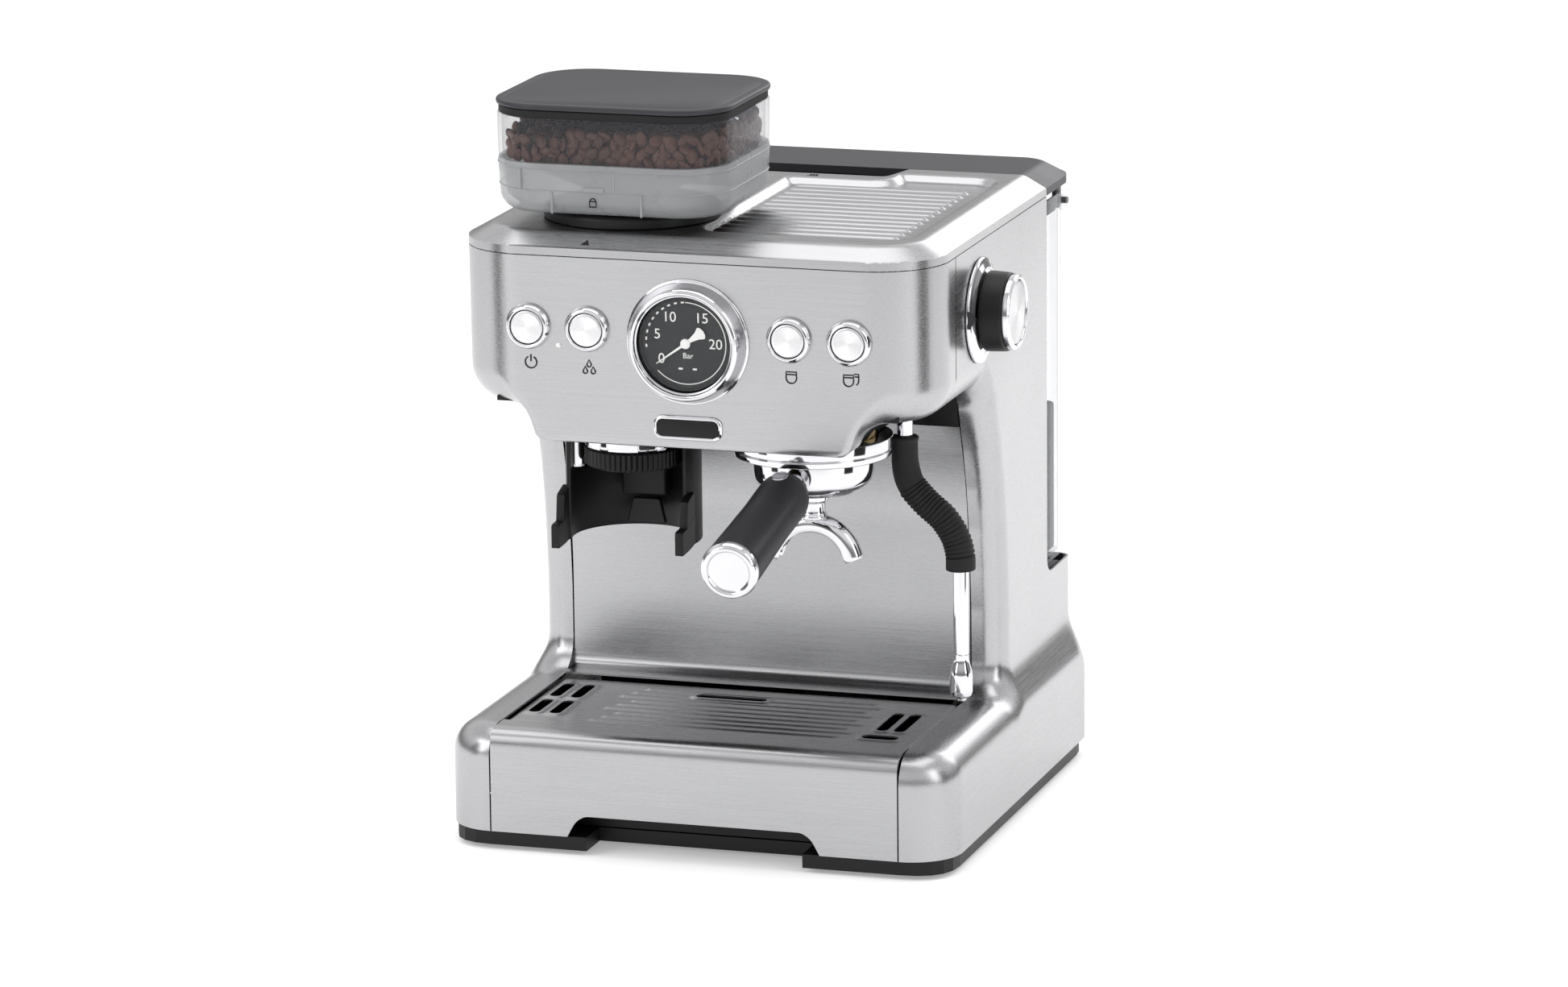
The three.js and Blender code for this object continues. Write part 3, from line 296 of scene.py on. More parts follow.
def surface(field, low, high, cell):
    """The surface where field is zero, by surface nets, each vertex then pulled on to it."""
    axes = [np.arange(a, b + cell, cell) for a, b in zip(low, high)]
    grid = np.stack(np.meshgrid(*axes, indexing="ij"), -1)
    value = field(grid.reshape(-1, 3)).reshape(grid.shape[:3])
    shape = tuple(n - 1 for n in value.shape)
    total, hits = np.zeros((*shape, 3)), np.zeros(shape)
    edges = []
    for axis in range(3):
        here = [slice(None)] * 3
        there = [slice(None)] * 3
        here[axis], there[axis] = slice(0, -1), slice(1, None)
        v0, v1 = value[tuple(here)], value[tuple(there)]
        where = np.argwhere((v0 < 0) != (v1 < 0))
        a, b = v0[tuple(where.T)], v1[tuple(where.T)]
        point = grid[tuple(where.T)].copy()
        point[:, axis] += cell * a / (a - b)
        others = [k for k in range(3) if k != axis]
        around = []
        for d0, d1 in ((0, 0), (1, 0), (1, 1), (0, 1)):
            at = where.copy()
            at[:, others[0]] -= d0
            at[:, others[1]] -= d1
            fine = np.all((at >= 0) & (at < np.array(shape)), axis=1)
            np.add.at(total, tuple(at[fine].T), point[fine])
            np.add.at(hits, tuple(at[fine].T), 1)
            around.append((at, fine))
        edges.append((around, (a < 0) ^ (axis == 1)))
    active = hits > 0
    index = -np.ones(shape, int)
    index[active] = np.arange(active.sum())
    points = total[active] / hits[active][:, None]
    faces = []
    for around, forward in edges:
        whole = np.all([fine for _, fine in around], axis=0)
        quad = np.stack([index[tuple(at[whole].T)] for at, _ in around], 1)
        flip = ~forward[whole]
        quad[flip] = quad[flip][:, ::-1]
        faces.extend(map(tuple, quad))
    step = 0.05
    for _ in range(4):
        f = field(points)
        slope = np.stack([
            (field(points + step * np.eye(3)[k]) - field(points - step * np.eye(3)[k])) / (2 * step)
            for k in range(3)
        ], 1)
        square = np.maximum((slope**2).sum(1), 0.25)
        points = points - np.clip(f / square, -cell, cell)[:, None] * slope
    return points, faces


def sheet(us, vs, place):
    """A grid of quads: place(u, v) gives each point for the arrays us and vs."""
    u, v = np.meshgrid(us, vs, indexing="ij")
    points = place(u.ravel(), v.ravel())
    m, n = len(us), len(vs)
    faces = [
        (i * n + j, (i + 1) * n + j, (i + 1) * n + j + 1, i * n + j + 1)
        for i in range(m - 1)
        for j in range(n - 1)
    ]
    return points, faces


def skirt(points, faces, drop, test=None):
    """Adds an upright wall below the mesh's open edges, of a height in mm."""
    count = {}
    for f in faces:
        for a, b in zip(f, (*f[1:], f[0])):
            key = (min(a, b), max(a, b))
            count[key] = None if key in count else (a, b)
    points, faces = [np.asarray(p, float) for p in points], list(faces)
    below = {}
    for a, b in filter(None, count.values()):
        if test is not None and not test(points[a], points[b]):
            continue
        for i in (a, b):
            if i not in below:
                below[i] = len(points)
                points.append(points[i] - np.array([0, 0, drop]))
        faces.append((b, a, below[a], below[b]))
    return np.array(points), faces


def revolve(profile, centre, axis="z", sides=64):
    """A turned body about an axis through centre; profile points are (radius, distance along it)."""
    turn = np.linspace(0, 2 * math.pi, sides, endpoint=False)
    lines = {"z": (0, 1, 2), "y": (2, 0, 1), "x": (1, 2, 0)}[axis]
    points, rings, faces = [], [], []
    for radius, along in profile:
        start = len(points)
        for t in turn if radius > 0 else turn[:1]:
            p = np.zeros(3)
            p[lines[0]], p[lines[1]], p[lines[2]] = radius * math.cos(t), radius * math.sin(t), along
            points.append(p + np.array(centre))
        rings.append(range(start, len(points)))
    closed = profile[0] == profile[-1] or profile[0][0] > 0 and profile[-1][0] > 0
    pairs = list(zip(rings, rings[1:])) + ([(rings[-1], rings[0])] if closed else [])
    for one, two in pairs:
        if len(one) == 1 and len(two) == 1:
            continue
        for i in range(sides):
            j = (i + 1) % sides
            if len(one) == 1:
                faces.append((one[0], two[j], two[i]))
            elif len(two) == 1:
                faces.append((one[i], one[j], two[0]))
            else:
                faces.append((one[i], one[j], two[j], two[i]))
    return np.array(points), faces


def soften(corners, radius, steps=4):
    """Rounds the corners of a profile of (a, b) or (a, b, own radius) points with short arcs."""
    flat = []
    for i, corner in enumerate(corners):
        here = np.array(corner[:2], float)
        own = corner[2] if len(corner) > 2 else radius
        if i in (0, len(corners) - 1) or own <= 0:
            flat.append(tuple(here))
            continue
        back_way = np.array(corners[i - 1][:2]) - here
        ahead = np.array(corners[i + 1][:2]) - here
        reach = min(own, 0.45 * np.linalg.norm(back_way), 0.45 * np.linalg.norm(ahead))
        start = here + back_way / np.linalg.norm(back_way) * reach
        end = here + ahead / np.linalg.norm(ahead) * reach
        for t in np.linspace(0, 1, steps + 1):
            p = (1 - t) ** 2 * start + 2 * t * (1 - t) * here + t * t * end
            flat.append(tuple(p))
    return flat


def merge(*meshes):
    points, faces, start = [], [], 0
    for p, f in meshes:
        points.append(np.asarray(p, float))
        faces.extend(tuple(i + start for i in face) for face in f)
        start += len(p)
    return np.concatenate(points), faces


# Distances in mm, negative inside.
def rounded(a, b, radius):
    """Where both a and b hold, with the edge between them rounded."""
    return np.minimum(np.maximum(a, b), -radius) + np.hypot(
        np.maximum(a + radius, 0), np.maximum(b + radius, 0)
    )


def filleted(a, b, radius):
    """Where a or b holds, with the inner corner between them filled by an arc."""
    return np.maximum(np.minimum(a, b), radius) - np.hypot(
        np.maximum(radius - a, 0), np.maximum(radius - b, 0)
    )


def rect(x, y, x0, x1, y0, y1, radius):
    """Distance to a rounded rectangle."""
    qx = np.abs(x - (x0 + x1) / 2) - (x1 - x0) / 2 + radius
    qy = np.abs(y - (y0 + y1) / 2) - (y1 - y0) / 2 + radius
    return np.hypot(np.maximum(qx, 0), np.maximum(qy, 0)) + np.minimum(np.maximum(qx, qy), 0) - radius


def smooth(value, low, high):
    t = np.clip((value - low) / (high - low), 0, 1)
    return t * t * (3 - 2 * t)


# ---------------------------------------------------------------- steel shells
HEAD_REAR = 600.0  # the head's plan runs on behind the panels' seam
HEAD_FLOOR = 264.0
APRON_Z = 246.6
PANEL_REAR = -89.5
SHOULDER = 22.0
SEAM = 0.5


def head_plan(p):
    lean_y = p[:, 1] - LEAN * (SEAM_Z - p[:, 2])
    return rect(p[:, 0], lean_y, -BODY_HALF, BODY_HALF, PANEL_FRONT, HEAD_REAR, 42)


def head_block(p):
    return rounded(head_plan(p), HEAD_FLOOR - p[:, 2], SHOULDER)


def head(p):
    x, z = np.abs(p[:, 0]), p[:, 2]
    side = (x - 94 - 0.30 * (z - APRON_Z)) * 0.958
    apron = rounded(rounded(side, APRON_Z - z, 5), head_plan(p), 2.5)
    return np.maximum(filleted(head_block(p), apron, 13), head_plan(p))


def head_seam(p):
    """Distance behind the seam between front and side panels, which bends forward low down."""
    z = p[:, 2]
    return p[:, 1] - PANEL_REAR + 28 * smooth(287 - z, 0, 21) ** 1.4


BUTTONS = {"power": -96.6, "purge": -60.8, "single": 60.8, "double": 96.6}
BUTTON_Z = 314.7
GAUGE_Z = 310.3
LAMP = (-78.6, 304.3)


def front_holes(p):
    x, z = p[:, 0], p[:, 2]
    holes = [11.9 - np.hypot(x - bx, z - BUTTON_Z) for bx in BUTTONS.values()]
    holes.append(29.8 - np.hypot(x, z - GAUGE_Z))
    holes.append(1.9 - np.hypot(x - LAMP[0], z - LAMP[1]))
    return np.where(p[:, 1] < -125, np.max(holes, axis=0), -1)


points, faces = surface(head, (-150, -150, 240), (150, -80, 366), 2.0)
for field in (
    lambda p: p[:, 2] - SEAM_Z,
    lambda p: head_seam(p) - 0.1,
    lambda p: p[:, 1] + 90.2,
    front_holes,
):
    points, faces = clip(points, faces, field)
build("front_panel_skin", points, faces, "housing", "brushed_steel", ["front_panel"], thick=1.4)

TANK_FRONT = 106.0
BASE_FRONT = -146.2
BASE_REAR = 171.0
PANEL_INNER = 124.9
COLUMN_LINE = np.array([  # front edge of the column as (z, y)
    (60, 7.6), (100, 7.6), (125, 7.4), (150, 5.6), (175, 2.8), (200, -1.6), (225, -8.4), (250, -17.5),
    (266, -22),
], float)


def column(p):
    edge = np.interp(p[:, 2], COLUMN_LINE[:, 0], COLUMN_LINE[:, 1])
    front = (edge - p[:, 1]) * 0.97
    rear = p[:, 1] - 161.5
    side = p[:, 0] - BODY_HALF
    return np.maximum(rounded(rounded(side, front, 14), rear, 8), p[:, 2] - 380)


def base(p):
    plan = rect(p[:, 0], p[:, 1], -BASE_HALF, BASE_HALF, BASE_FRONT, BASE_REAR, 30)
    return rounded(plan, p[:, 2] - SHELF_Z, 18)


def side_shell(p):
    flank = BASE_HALF - (BASE_HALF - BODY_HALF) * smooth(p[:, 2], 62, 100)
    return np.maximum(filleted(filleted(column(p), base(p), 20), head_block(p), 12), p[:, 0] - flank)


def tank_notch(p):
    """Where the panel stops in front of the water tank and above its seat."""
    return -rect(p[:, 1], p[:, 2], TANK_FRONT, 400, 125, 600, 9)


points, faces = surface(side_shell, (112, -150, 4), (160, 176, 366), 2.4)
for field in (
    lambda p: p[:, 2] - SEAM_Z,
    lambda p: 11.5 - p[:, 2],
    lambda p: PANEL_INNER - p[:, 0],
    tank_notch,
    lambda p: np.where(p[:, 2] > 250, SEAM - 0.1 - head_seam(p), -1),
):
    points, faces = clip(points, faces, field)
knob_hole = lambda p: np.where(p[:, 0] > 143, 5.5 - np.hypot(p[:, 1] - KNOB[1], p[:, 2] - KNOB[2]), -1)
right = clip(points, faces, knob_hole)
build("side_skin_right", *right, "housing", STEEL_DEEP, ["side_panel_right"], "brushed_steel", 1.4)
mirrored = points * np.array([-1, 1, 1])
build("side_skin_left", mirrored, [f[::-1] for f in faces], "housing", STEEL_DEEP,
      ["side_panel_left"], "brushed_steel", 1.4)

# Top cover: a pressed sheet seen as heights over its plan, with a chamfered edge.
COVER_REAR = TANK_FRONT - 0.4
CHAMFER_RUN, CHAMFER_RISE, BAND = 14.0, 7.7, 4.6


def edge_height(inset):
    """Height of the chamfered edge at a distance in from the outline, eased at the crest."""
    rise = np.clip(inset, 0, CHAMFER_RUN) * CHAMFER_RISE / CHAMFER_RUN
    ease = 1.6
    near = np.clip(1 - np.abs(inset - CHAMFER_RUN) / ease, 0, 1)
    return rise - 0.22 * near**2 * ease


def cover_plan(x, y):
    return rect(x, y, -BODY_HALF, BODY_HALF, PANEL_FRONT, HEAD_REAR, 42)


def pocket(x, y):
    """The recessed cup tray: a rounded rectangle with a step round the finger slot."""
    wide = rect(x, y, -6, 123, -112, 90.5, 18)
    step = rect(x, y, -200, 58, 66, 200, 14)
    return rounded(wide, -step, 6)


def cover_top(x, y):
    z = TOP_Z - CHAMFER_RISE + edge_height(-cover_plan(x, y))
    depth = 4.0 * smooth(-pocket(x, y), 0, 5.5)
    ribs = np.zeros_like(x)
    for i in range(14):
        line = -100 + i * 12
        left = -2 + 4 * i / 13
        along = rect(x, y, left, 110, line - 3.0, line + 3.0, 3.0)
        ribs = np.maximum(ribs, 1.7 * smooth(-along, -0.6, 2.6))
    z = z - depth + ribs * smooth(depth, 3, 4)
    return np.stack([x, y, z], 1)


def slot_shape(p):
    """The finger slot, with a slanted right-hand end."""
    tall = rect(p[:, 0], p[:, 1], -60, 59 - 0.25 * (105 - p[:, 1]), 79, 130, 4)
    return -tall


CELL = 1.5
points, faces = sheet(
    np.arange(-145.5, 146, CELL), np.arange(-145.5, 107, CELL), cover_top,
)
for field in (
    lambda p: cover_plan(p[:, 0], p[:, 1]),
    lambda p: p[:, 1] - COVER_REAR,
    lambda p: 45.5 - np.hypot(p[:, 0] - GRINDER[0], p[:, 1] - GRINDER[1]),
    slot_shape,
):
    points, faces = clip(points, faces, field)
inner = lambda a, b: abs(a[0]) < 62 and a[1] > 78
points, faces = skirt(points, faces, BAND, lambda a, b: not (inner(a, b) and inner(b, a)))
points, faces = skirt(points, faces, 8.0, lambda a, b: inner(a, b) and inner(b, a) and a[2] > 366)
build("top_cover_skin", points, faces, "housing", "brushed_steel", ["top_cover"])
floor_plate = sheet(np.linspace(-60, 59.5, 3), np.linspace(78.5, 105.4, 3),
                    lambda x, y: np.stack([x, y, np.full_like(x, 361.2)], 1))
build("slot_floor", *floor_plate, "housing", "black_plastic", thick=1.0)

LID_REAR = 177.0


def lid_plan(x, y):
    return rect(x, y, -BODY_HALF, BODY_HALF, -200, LID_REAR, 30)


def lid_top(x, y):
    z = TOP_Z - CHAMFER_RISE + edge_height(-lid_plan(x, y))
    return np.stack([x, y, z], 1)


points, faces = sheet(np.arange(-145.5, 146, 2.0), np.arange(106.2, 178.5, 1.5), lid_top)
points, faces = clip(points, faces, lambda p: lid_plan(p[:, 0], p[:, 1]))
points, faces = skirt(points, faces, BAND)
build("tank_lid_skin", points, faces, "tank_lid", "grey_plastic")

# Drip tray front: the rounded sheet over the finger recess.
TRAY_HALF = 124.05


def bend(corner_profile, radius, steps=14):
    return np.array(soften(corner_profile, radius, steps))


front_line = bend([(BASE_FRONT, 11.5), (BASE_FRONT, SHELF_Z, 23), (-121.4, SHELF_Z)], 23)


def fine(line, step):
    """The same line with points at most step mm apart."""
    out = [line[0]]
    for a, b in zip(line, line[1:]):
        n = max(1, math.ceil(np.linalg.norm(b - a) / step))
        out.extend(a + (b - a) * (k + 1) / n for k in range(n))
    return np.array(out)


def along_line(line, half, step=2.5):
    line = fine(line, step)
    xs = np.linspace(-half, half, math.ceil(2 * half / step) + 1)
    reach = np.arange(len(line), dtype=float)
    return sheet(xs, reach, lambda x, t: np.stack([
        x,
        np.interp(t, reach, line[:, 0]),
        np.interp(t, reach, line[:, 1]),
    ], 1))


points, faces = along_line(front_line, TRAY_HALF)


def finger_recess(p):
    slope = 0.55 * np.maximum(24.5 - p[:, 2], 0)
    return -rect(p[:, 0], p[:, 2], -70 - slope, 70 + slope, -30, 24.5, 6)


points, faces = clip(points, faces, lambda p: np.where(p[:, 1] < -130, finger_recess(p), -1))
build("drip_tray_front_skin", points, faces, "drip_tray", "brushed_steel", ["drip_tray_front"], thick=1.6)

# Drip cover: pressed ribs and slots in raised surrounds.
SLOTS = [  # x0, x1, y0, y1
    (-117, -110, -100, -70), (-117, -110, -62, -31), (-104, -97, -100, -70), (-104, -97, -62, -31),
    (93.5, 100.5, -88, -47), (104, 111, -88, -47), (90, 112, -107, -98), (-32, 12, -42, -35),
]


def drip_top(x, y):
    z = np.full_like(x, SHELF_Z - 0.9)
    for i in range(9):
        line = -106 + i * 9.6
        left = -76 + (i % 3) * 5
        right = 82 if i % 2 else 76
        along = rect(x, y, left, right, line - 2.0, line + 2.0, 2.0)
        z += 0.85 * smooth(-along, -1.2, 1.6)
    for x0, x1, y0, y1 in SLOTS:
        surround = rect(x, y, x0 - 2.6, x1 + 2.6, y0 - 2.6, y1 + 2.6, 5)
        z = np.maximum(z, SHELF_Z - 0.9 + 0.85 * smooth(-surround, -1.0, 1.2))
    rim = rect(x, y, -TRAY_HALF + 1, TRAY_HALF - 1, -121, -13, 4)
    return np.stack([x, y, z - 1.2 * smooth(rim, -2.5, 0.5)], 1)


def drip_slots(p):
    holes = [-rect(p[:, 0], p[:, 1], *s, min(s[1] - s[0], s[3] - s[2]) / 2 - 0.05) for s in SLOTS]
    return np.max(holes, axis=0)


points, faces = sheet(np.linspace(-TRAY_HALF + 0.8, TRAY_HALF - 0.8, 200), np.linspace(-120.8, -13.2, 88),
    drip_top)
points, faces = clip(points, faces, drip_slots)
build("drip_cover_skin", points, faces, "drip_cover", "brushed_steel", ["drip_cover"], thick=1.0)

# Backsplash: one sheet curving from the head down to the tray.
splash_line = bend([(-12, 240), (1, 203, 60), (8.6, 150, 50), (9, SHELF_Z + 1, 20), (-12, SHELF_Z + 1)],
    20, 12)
points, faces = along_line(splash_line, TRAY_HALF, 3.0)
build("backsplash_skin", points, faces, "housing", "brushed_steel", ["backsplash"], thick=1.2)


# ---------------------------------------------------------------- water tank and its lid
def ring(half_x, half_y, radius, z, steps=8):
    """Points of a rounded rectangle about the origin, anticlockwise."""
    radius = max(radius, 0.3)
    out = []
    for corner in range(4):
        sx = 1 if corner in (0, 3) else -1
        sy = 1 if corner < 2 else -1
        for t in np.linspace(0, math.pi / 2, steps + 1) + corner * math.pi / 2:
            out.append((sx * (half_x - radius) + radius * math.cos(t),
                        sy * (half_y - radius) + radius * math.sin(t), z))
    return np.array(out)


def loft(rings, centre=(0, 0), low_cap=True, high_cap=True, closed=False):
    """Skin through loops with the same number of points, capped at either end if asked."""
    count = len(rings[0])
    points = np.concatenate(rings) + np.array([*centre, 0])
    faces = []
    for k in range(len(rings) if closed else len(rings) - 1):
        one, two = k * count, (k + 1) % len(rings) * count
        for i in range(count):
            j = (i + 1) % count
            faces.append((one + i, one + j, two + j, two + i))
    if not closed and low_cap:
        faces.append(tuple(range(count))[::-1])
    if not closed and high_cap:
        faces.append(tuple((len(rings) - 1) * count + i for i in range(count)))
    return points, faces


def block(x0, x1, y0, y1, z0, z1, radius=1.0, bevel=0.5):
    """A box with rounded upright edges and a small bevel round its ends."""
    hx, hy = (x1 - x0) / 2, (y1 - y0) / 2
    radius = min(radius, hx - 0.01, hy - 0.01)
    rings = [ring(hx - i, hy - i, radius - i, z, 3) for i, z in (
        (bevel, z0), (0, z0 + bevel), (0, z1 - bevel), (bevel, z1))]
    return loft(rings, ((x0 + x1) / 2, (y0 + y1) / 2))


def turn_x(mesh, angle, centre):
    """Turns a mesh about an X axis through centre, by an angle in radians."""
    p = mesh[0] - np.array(centre)
    c, s = math.cos(angle), math.sin(angle)
    return np.stack([p[:, 0], c * p[:, 1] - s * p[:, 2], s * p[:, 1] + c * p[:, 2]],
        1) + np.array(centre), mesh[1]


def shift(mesh, x=0.0, y=0.0, z=0.0):
    return mesh[0] + np.array([x, y, z]), mesh[1]


def rod(radius, low, high, axis, centre, sides=32, bevel=0.4):
    """A plain turned bar with eased ends."""
    bevel = min(bevel, radius / 3, (high - low) / 3)
    return revolve([(0, low), (radius - bevel, low), (radius, low + bevel),
                    (radius, high - bevel), (radius - bevel, high), (0, high)], centre, axis, sides)


TANK_MID = 131.15
TANK_HALF, TANK_DEPTH = 143.0, 24.35
tank_rings = [
    ring(TANK_HALF - 1.5, TANK_DEPTH - 1.5, 10.5, 128.2), ring(TANK_HALF, TANK_DEPTH, 12, 130),
    ring(TANK_HALF, TANK_DEPTH, 12, 227), ring(TANK_HALF - 0.5, TANK_DEPTH - 0.5, 11.6, 228),
    ring(TANK_HALF - 0.5, TANK_DEPTH - 0.5, 11.6, 351), ring(TANK_HALF - 1.2, TANK_DEPTH - 1.2, 11, 351.8),
    ring(TANK_HALF - 2.4, TANK_DEPTH - 2.4, 9.6, 351), ring(TANK_HALF - 2.4, TANK_DEPTH - 2.4, 9.6, 131.4),
]
tank_parts = [loft(tank_rings, (0, TANK_MID), True, True)]
HINGE = (162.0, 344.0)
for side in (-1, 1):
    boss = revolve([(2.3, -2.4), (5.9, -2.4), (6.5, -1.9), (6.5, 1.9), (5.9, 2.4), (2.3, 2.4), (2.3, -2.4)],
                   (side * 140.5, *HINGE), "x", 32)
    bridge = block(side * 140.5 - 2.3, side * 140.5 + 2.3, 155.0, 157.4, 339.4, 348.6, 0.6)
    tank_parts += [boss, bridge]
build("tank_shell", *merge(*tank_parts), "water_tank", "clear_plastic", ["water_tank"])
inside_block = merge(
    block(92, 137.5, 118, 151, 131.5, 222, 5, 1), block(-137.5, -92, 118, 151, 131.5, 222, 5, 1),
    block(-92.2, 92.2, 145.5, 151, 131.5, 160, 2, 1),
)
build("tank_filter_housing", *inside_block, "water_tank", "black_plastic")
bar = merge(*[block(s * 139.4 - 0.9, s * 139.4 + 0.9, 111.5, 141, 341.4, 350.6, 0.5) for s in (-1, 1)])
build("tank_handle_bars", *bar, "water_tank", "black_plastic")

lid_parts = []
for side in (-1, 1):
    ear = revolve([(0, -1.9), (4.6, -1.9), (5.1, -1.4), (5.1, 1.4), (4.6, 1.9), (0, 1.9)],
                  (side * 135, *HINGE), "x", 28)
    stalk = block(side * 135 - 1.8, side * 135 + 1.8, 157.2, 166.8, 345, 361.5, 1)
    pin = rod(2.0, -1.5, 6.6, "x", (side * 135.6, *HINGE), 20) if side > 0 else \
        rod(2.0, -6.6, 1.5, "x", (side * 135.6, *HINGE), 20)
    lid_parts += [ear, stalk, pin]
lid_parts.append(loft([
    ring(139, 32.4, 24, 357.2), ring(139, 32.4, 24, 360.4), ring(126, 26, 18, 366.4),
    ring(124, 24, 16, 366.4), ring(137, 30.4, 22, 359.8), ring(137, 30.4, 22, 357.2),
], (0, 141), closed=True))
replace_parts(build("tank_lid_underside", *merge(*lid_parts), "tank_lid", "grey_plastic"), "tank_lid")

# ---------------------------------------------------------------- hopper
HOPPER_X, HOPPER_Y = -56.0, -68.0
HOPPER_HALF = (71.8, 63.7)


def hopper_ring(inset, z, steps=10):
    return ring(HOPPER_HALF[0] - inset, HOPPER_HALF[1] - inset, max(32 - inset, 3), z, steps)


def hopper_piece(name, rings, body, look, replaces, slot, **kind):
    return build(name, *loft([hopper_ring(i, z) for i, z in rings], (HOPPER_X, HOPPER_Y), **kind),
                 body, LOOKS[look], replaces, slot)


hopper_piece("hopper_lid_plate", [
    (1.3, 438.6), (0.3, 439.0), (0.05, 439.6), (0.05, 441.0), (0.5, 441.7), (1.3, 442.0),
    (5.2, 442.0), (5.6, 441.75), (6.0, 442.0),
], "hopper_lid", "grey_plastic", ["hopper_lid"], "grey_plastic")
hopper_piece("hopper_lid_seal", [
    (4.4, 432.9), (4.0, 433.3), (1.9, 433.7), (1.5, 434.2), (1.5, 437.9), (2.2, 438.7), (12, 438.7),
], "hopper_lid", "rubber", (), "rubber")
hopper_piece("hopper_walls", [
    (1.0, 407.9), (0.7, 420), (0.5, 433.2), (0.8, 433.7), (2.6, 433.7), (3.0, 433.2), (3.2, 420),
    (3.4, 407.9),
], "hopper", "clear_plastic", ["hopper_body"], "clear_plastic", closed=True)
hopper_piece("hopper_tray", [
    (13, 377.6), (8.0, 377.9), (5.0, 380.2), (2.7, 383.4), (2.1, 385.6), (1.4, 396), (0.9, 406.8),
    (1.3, 407.5),
    (3.3, 407.5), (3.6, 406.8), (4.6, 396), (6, 386), (12, 381), (14, 380.4),
], "hopper", "frosted_plastic", ["hopper_base"], "frosted_plastic", closed=True)
seams = [loft([hopper_ring(0.75, 404.3), hopper_ring(0.4, 404.7), hopper_ring(0.75, 405.1),
               hopper_ring(1.6, 404.7)], (HOPPER_X, HOPPER_Y), closed=True),
         loft([hopper_ring(1.6, 391.6), hopper_ring(1.15, 392), hopper_ring(1.6, 392.4),
               hopper_ring(2.6, 392)], (HOPPER_X, HOPPER_Y), closed=True)]
front_wall = HOPPER_Y - HOPPER_HALF[1]
for x, low, high in ((-105, 392.6, 404), (-48, 392.6, 404), (-85.6, 378.6, 391.4), (-31.5, 378.6, 391.4)):
    seams.append(block(x - 0.6, x + 0.6, front_wall + 0.9, front_wall + 2.6, low, high, 0.4, 0.3))
seams.append(block(-67, -54, front_wall + 0.85, front_wall + 2.4, 391.8, 394.6, 0.8, 0.4))
build("hopper_seams", *merge(*seams), "hopper", "frosted_plastic")
neck = revolve(soften([(23.5, 363.4), (25.9, 363.4), (25.9, 379.5), (23.5, 379.5), (23.5, 363.4)], 0.6),
               (*GRINDER, 0), "z", 56)
build("hopper_neck", *neck, "hopper", "frosted_plastic")
collar = revolve(soften([(40, 361.4), (45, 361.4), (45, 369.5), (51.9, 369.5), (51.9, 374.6),
                         (50.4, 376.4, 1.4), (40, 376.4), (40, 361.4)], 0.7), (*GRINDER, 0), "z", 72)
build("hopper_collar_ring", *collar, "housing", "black_plastic", ["hopper_collar"])


def bean_mesh(length, width, height, sides=12, rings=7):
    """A coffee bean: rounded back, flatter belly with a crease along it."""
    points, faces = [(-length, 0, 0)], []
    for i in range(1, rings):
        across = math.pi * i / rings
        for j in range(sides):
            t = 2 * math.pi * j / sides
            y, z = math.cos(t) * math.sin(across), math.sin(t) * math.sin(across)
            if z > 0:
                z = z * 0.62 - 0.34 * math.exp(-((y / 0.16) ** 2)) * math.sin(across)
            points.append((-length * math.cos(across), width * y, height * z))
    points.append((length, 0, 0))
    last = len(points) - 1
    for j in range(sides):
        k = (j + 1) % sides
        faces.append((0, 1 + k, 1 + j))
        for i in range(rings - 2):
            a, b = 1 + i * sides, 1 + (i + 1) * sides
            faces.append((a + j, a + k, b + k, b + j))
        a = 1 + (rings - 2) * sides
        faces.append((a + j, a + k, last))
    return np.array(points), faces


def bean_level(x, y):
    """Height of the heap: lower by the front left corner."""
    return 428.6 - 7.5 * smooth(np.hypot(x + 125, y + 128), 75, 10)


dice = random.Random(7)
bean_shape = bean_mesh(5.0, 3.7, 3.0)


def bean_at(x, y, z, facing=None):
    scale = dice.uniform(0.86, 1.08)
    turn = Matrix.Rotation(dice.uniform(0, 2 * math.pi), 3, "Z") @ Matrix.Rotation(dice.gauss(0, 0.5), 3,
        "X")
    if facing is not None:
        tilt = Vector((0, 0, 1)).rotation_difference(Vector((*facing,
            dice.uniform(-0.3, 0.3))).normalized())
        turn = tilt.to_matrix() @ turn
    if dice.random() < 0.5:
        turn = turn @ Matrix.Rotation(math.pi, 3, "X")
    return bean_shape[0] * scale @ np.array(turn).T + np.array([x, y, z]), bean_shape[1]


beans = []
for layer in range(5):
    z = 409.5 + layer * 4.7
    loop = hopper_ring(8.4, 0, 14)
    lengths = np.concatenate([[0], np.cumsum(np.linalg.norm(np.roll(loop, -1, 0) - loop, axis=1))])
    whole = np.concatenate([loop, loop[:1]])
    for k in range(58):
        at = (k + 0.5 * (layer % 2) + dice.uniform(-0.25, 0.25)) / 58 % 1 * lengths[-1]
        x = np.interp(at, lengths, whole[:, 0])
        y = np.interp(at, lengths, whole[:, 1])
        if z > bean_level(x + HOPPER_X, y + HOPPER_Y) - 1:
            continue
        size = math.hypot(x, y)
        beans.append(bean_at(x + HOPPER_X, y + HOPPER_Y, z + dice.uniform(-1, 1), (x / size, y / size)))
for i in range(14):
    for j in range(13):
        x = -50 + i * 7.9 - 2 + dice.uniform(-2, 2)
        y = -46 + j * 7.7 + dice.uniform(-2, 2)
        if rect(np.array([x]), np.array([y]), -62, 62, -53, 53, 20)[0] < 0:
            top = bean_level(x + HOPPER_X, y + HOPPER_Y)
            beans.append(bean_at(x + HOPPER_X, y + HOPPER_Y, top - 3.2 + dice.uniform(-1.5, 0)))
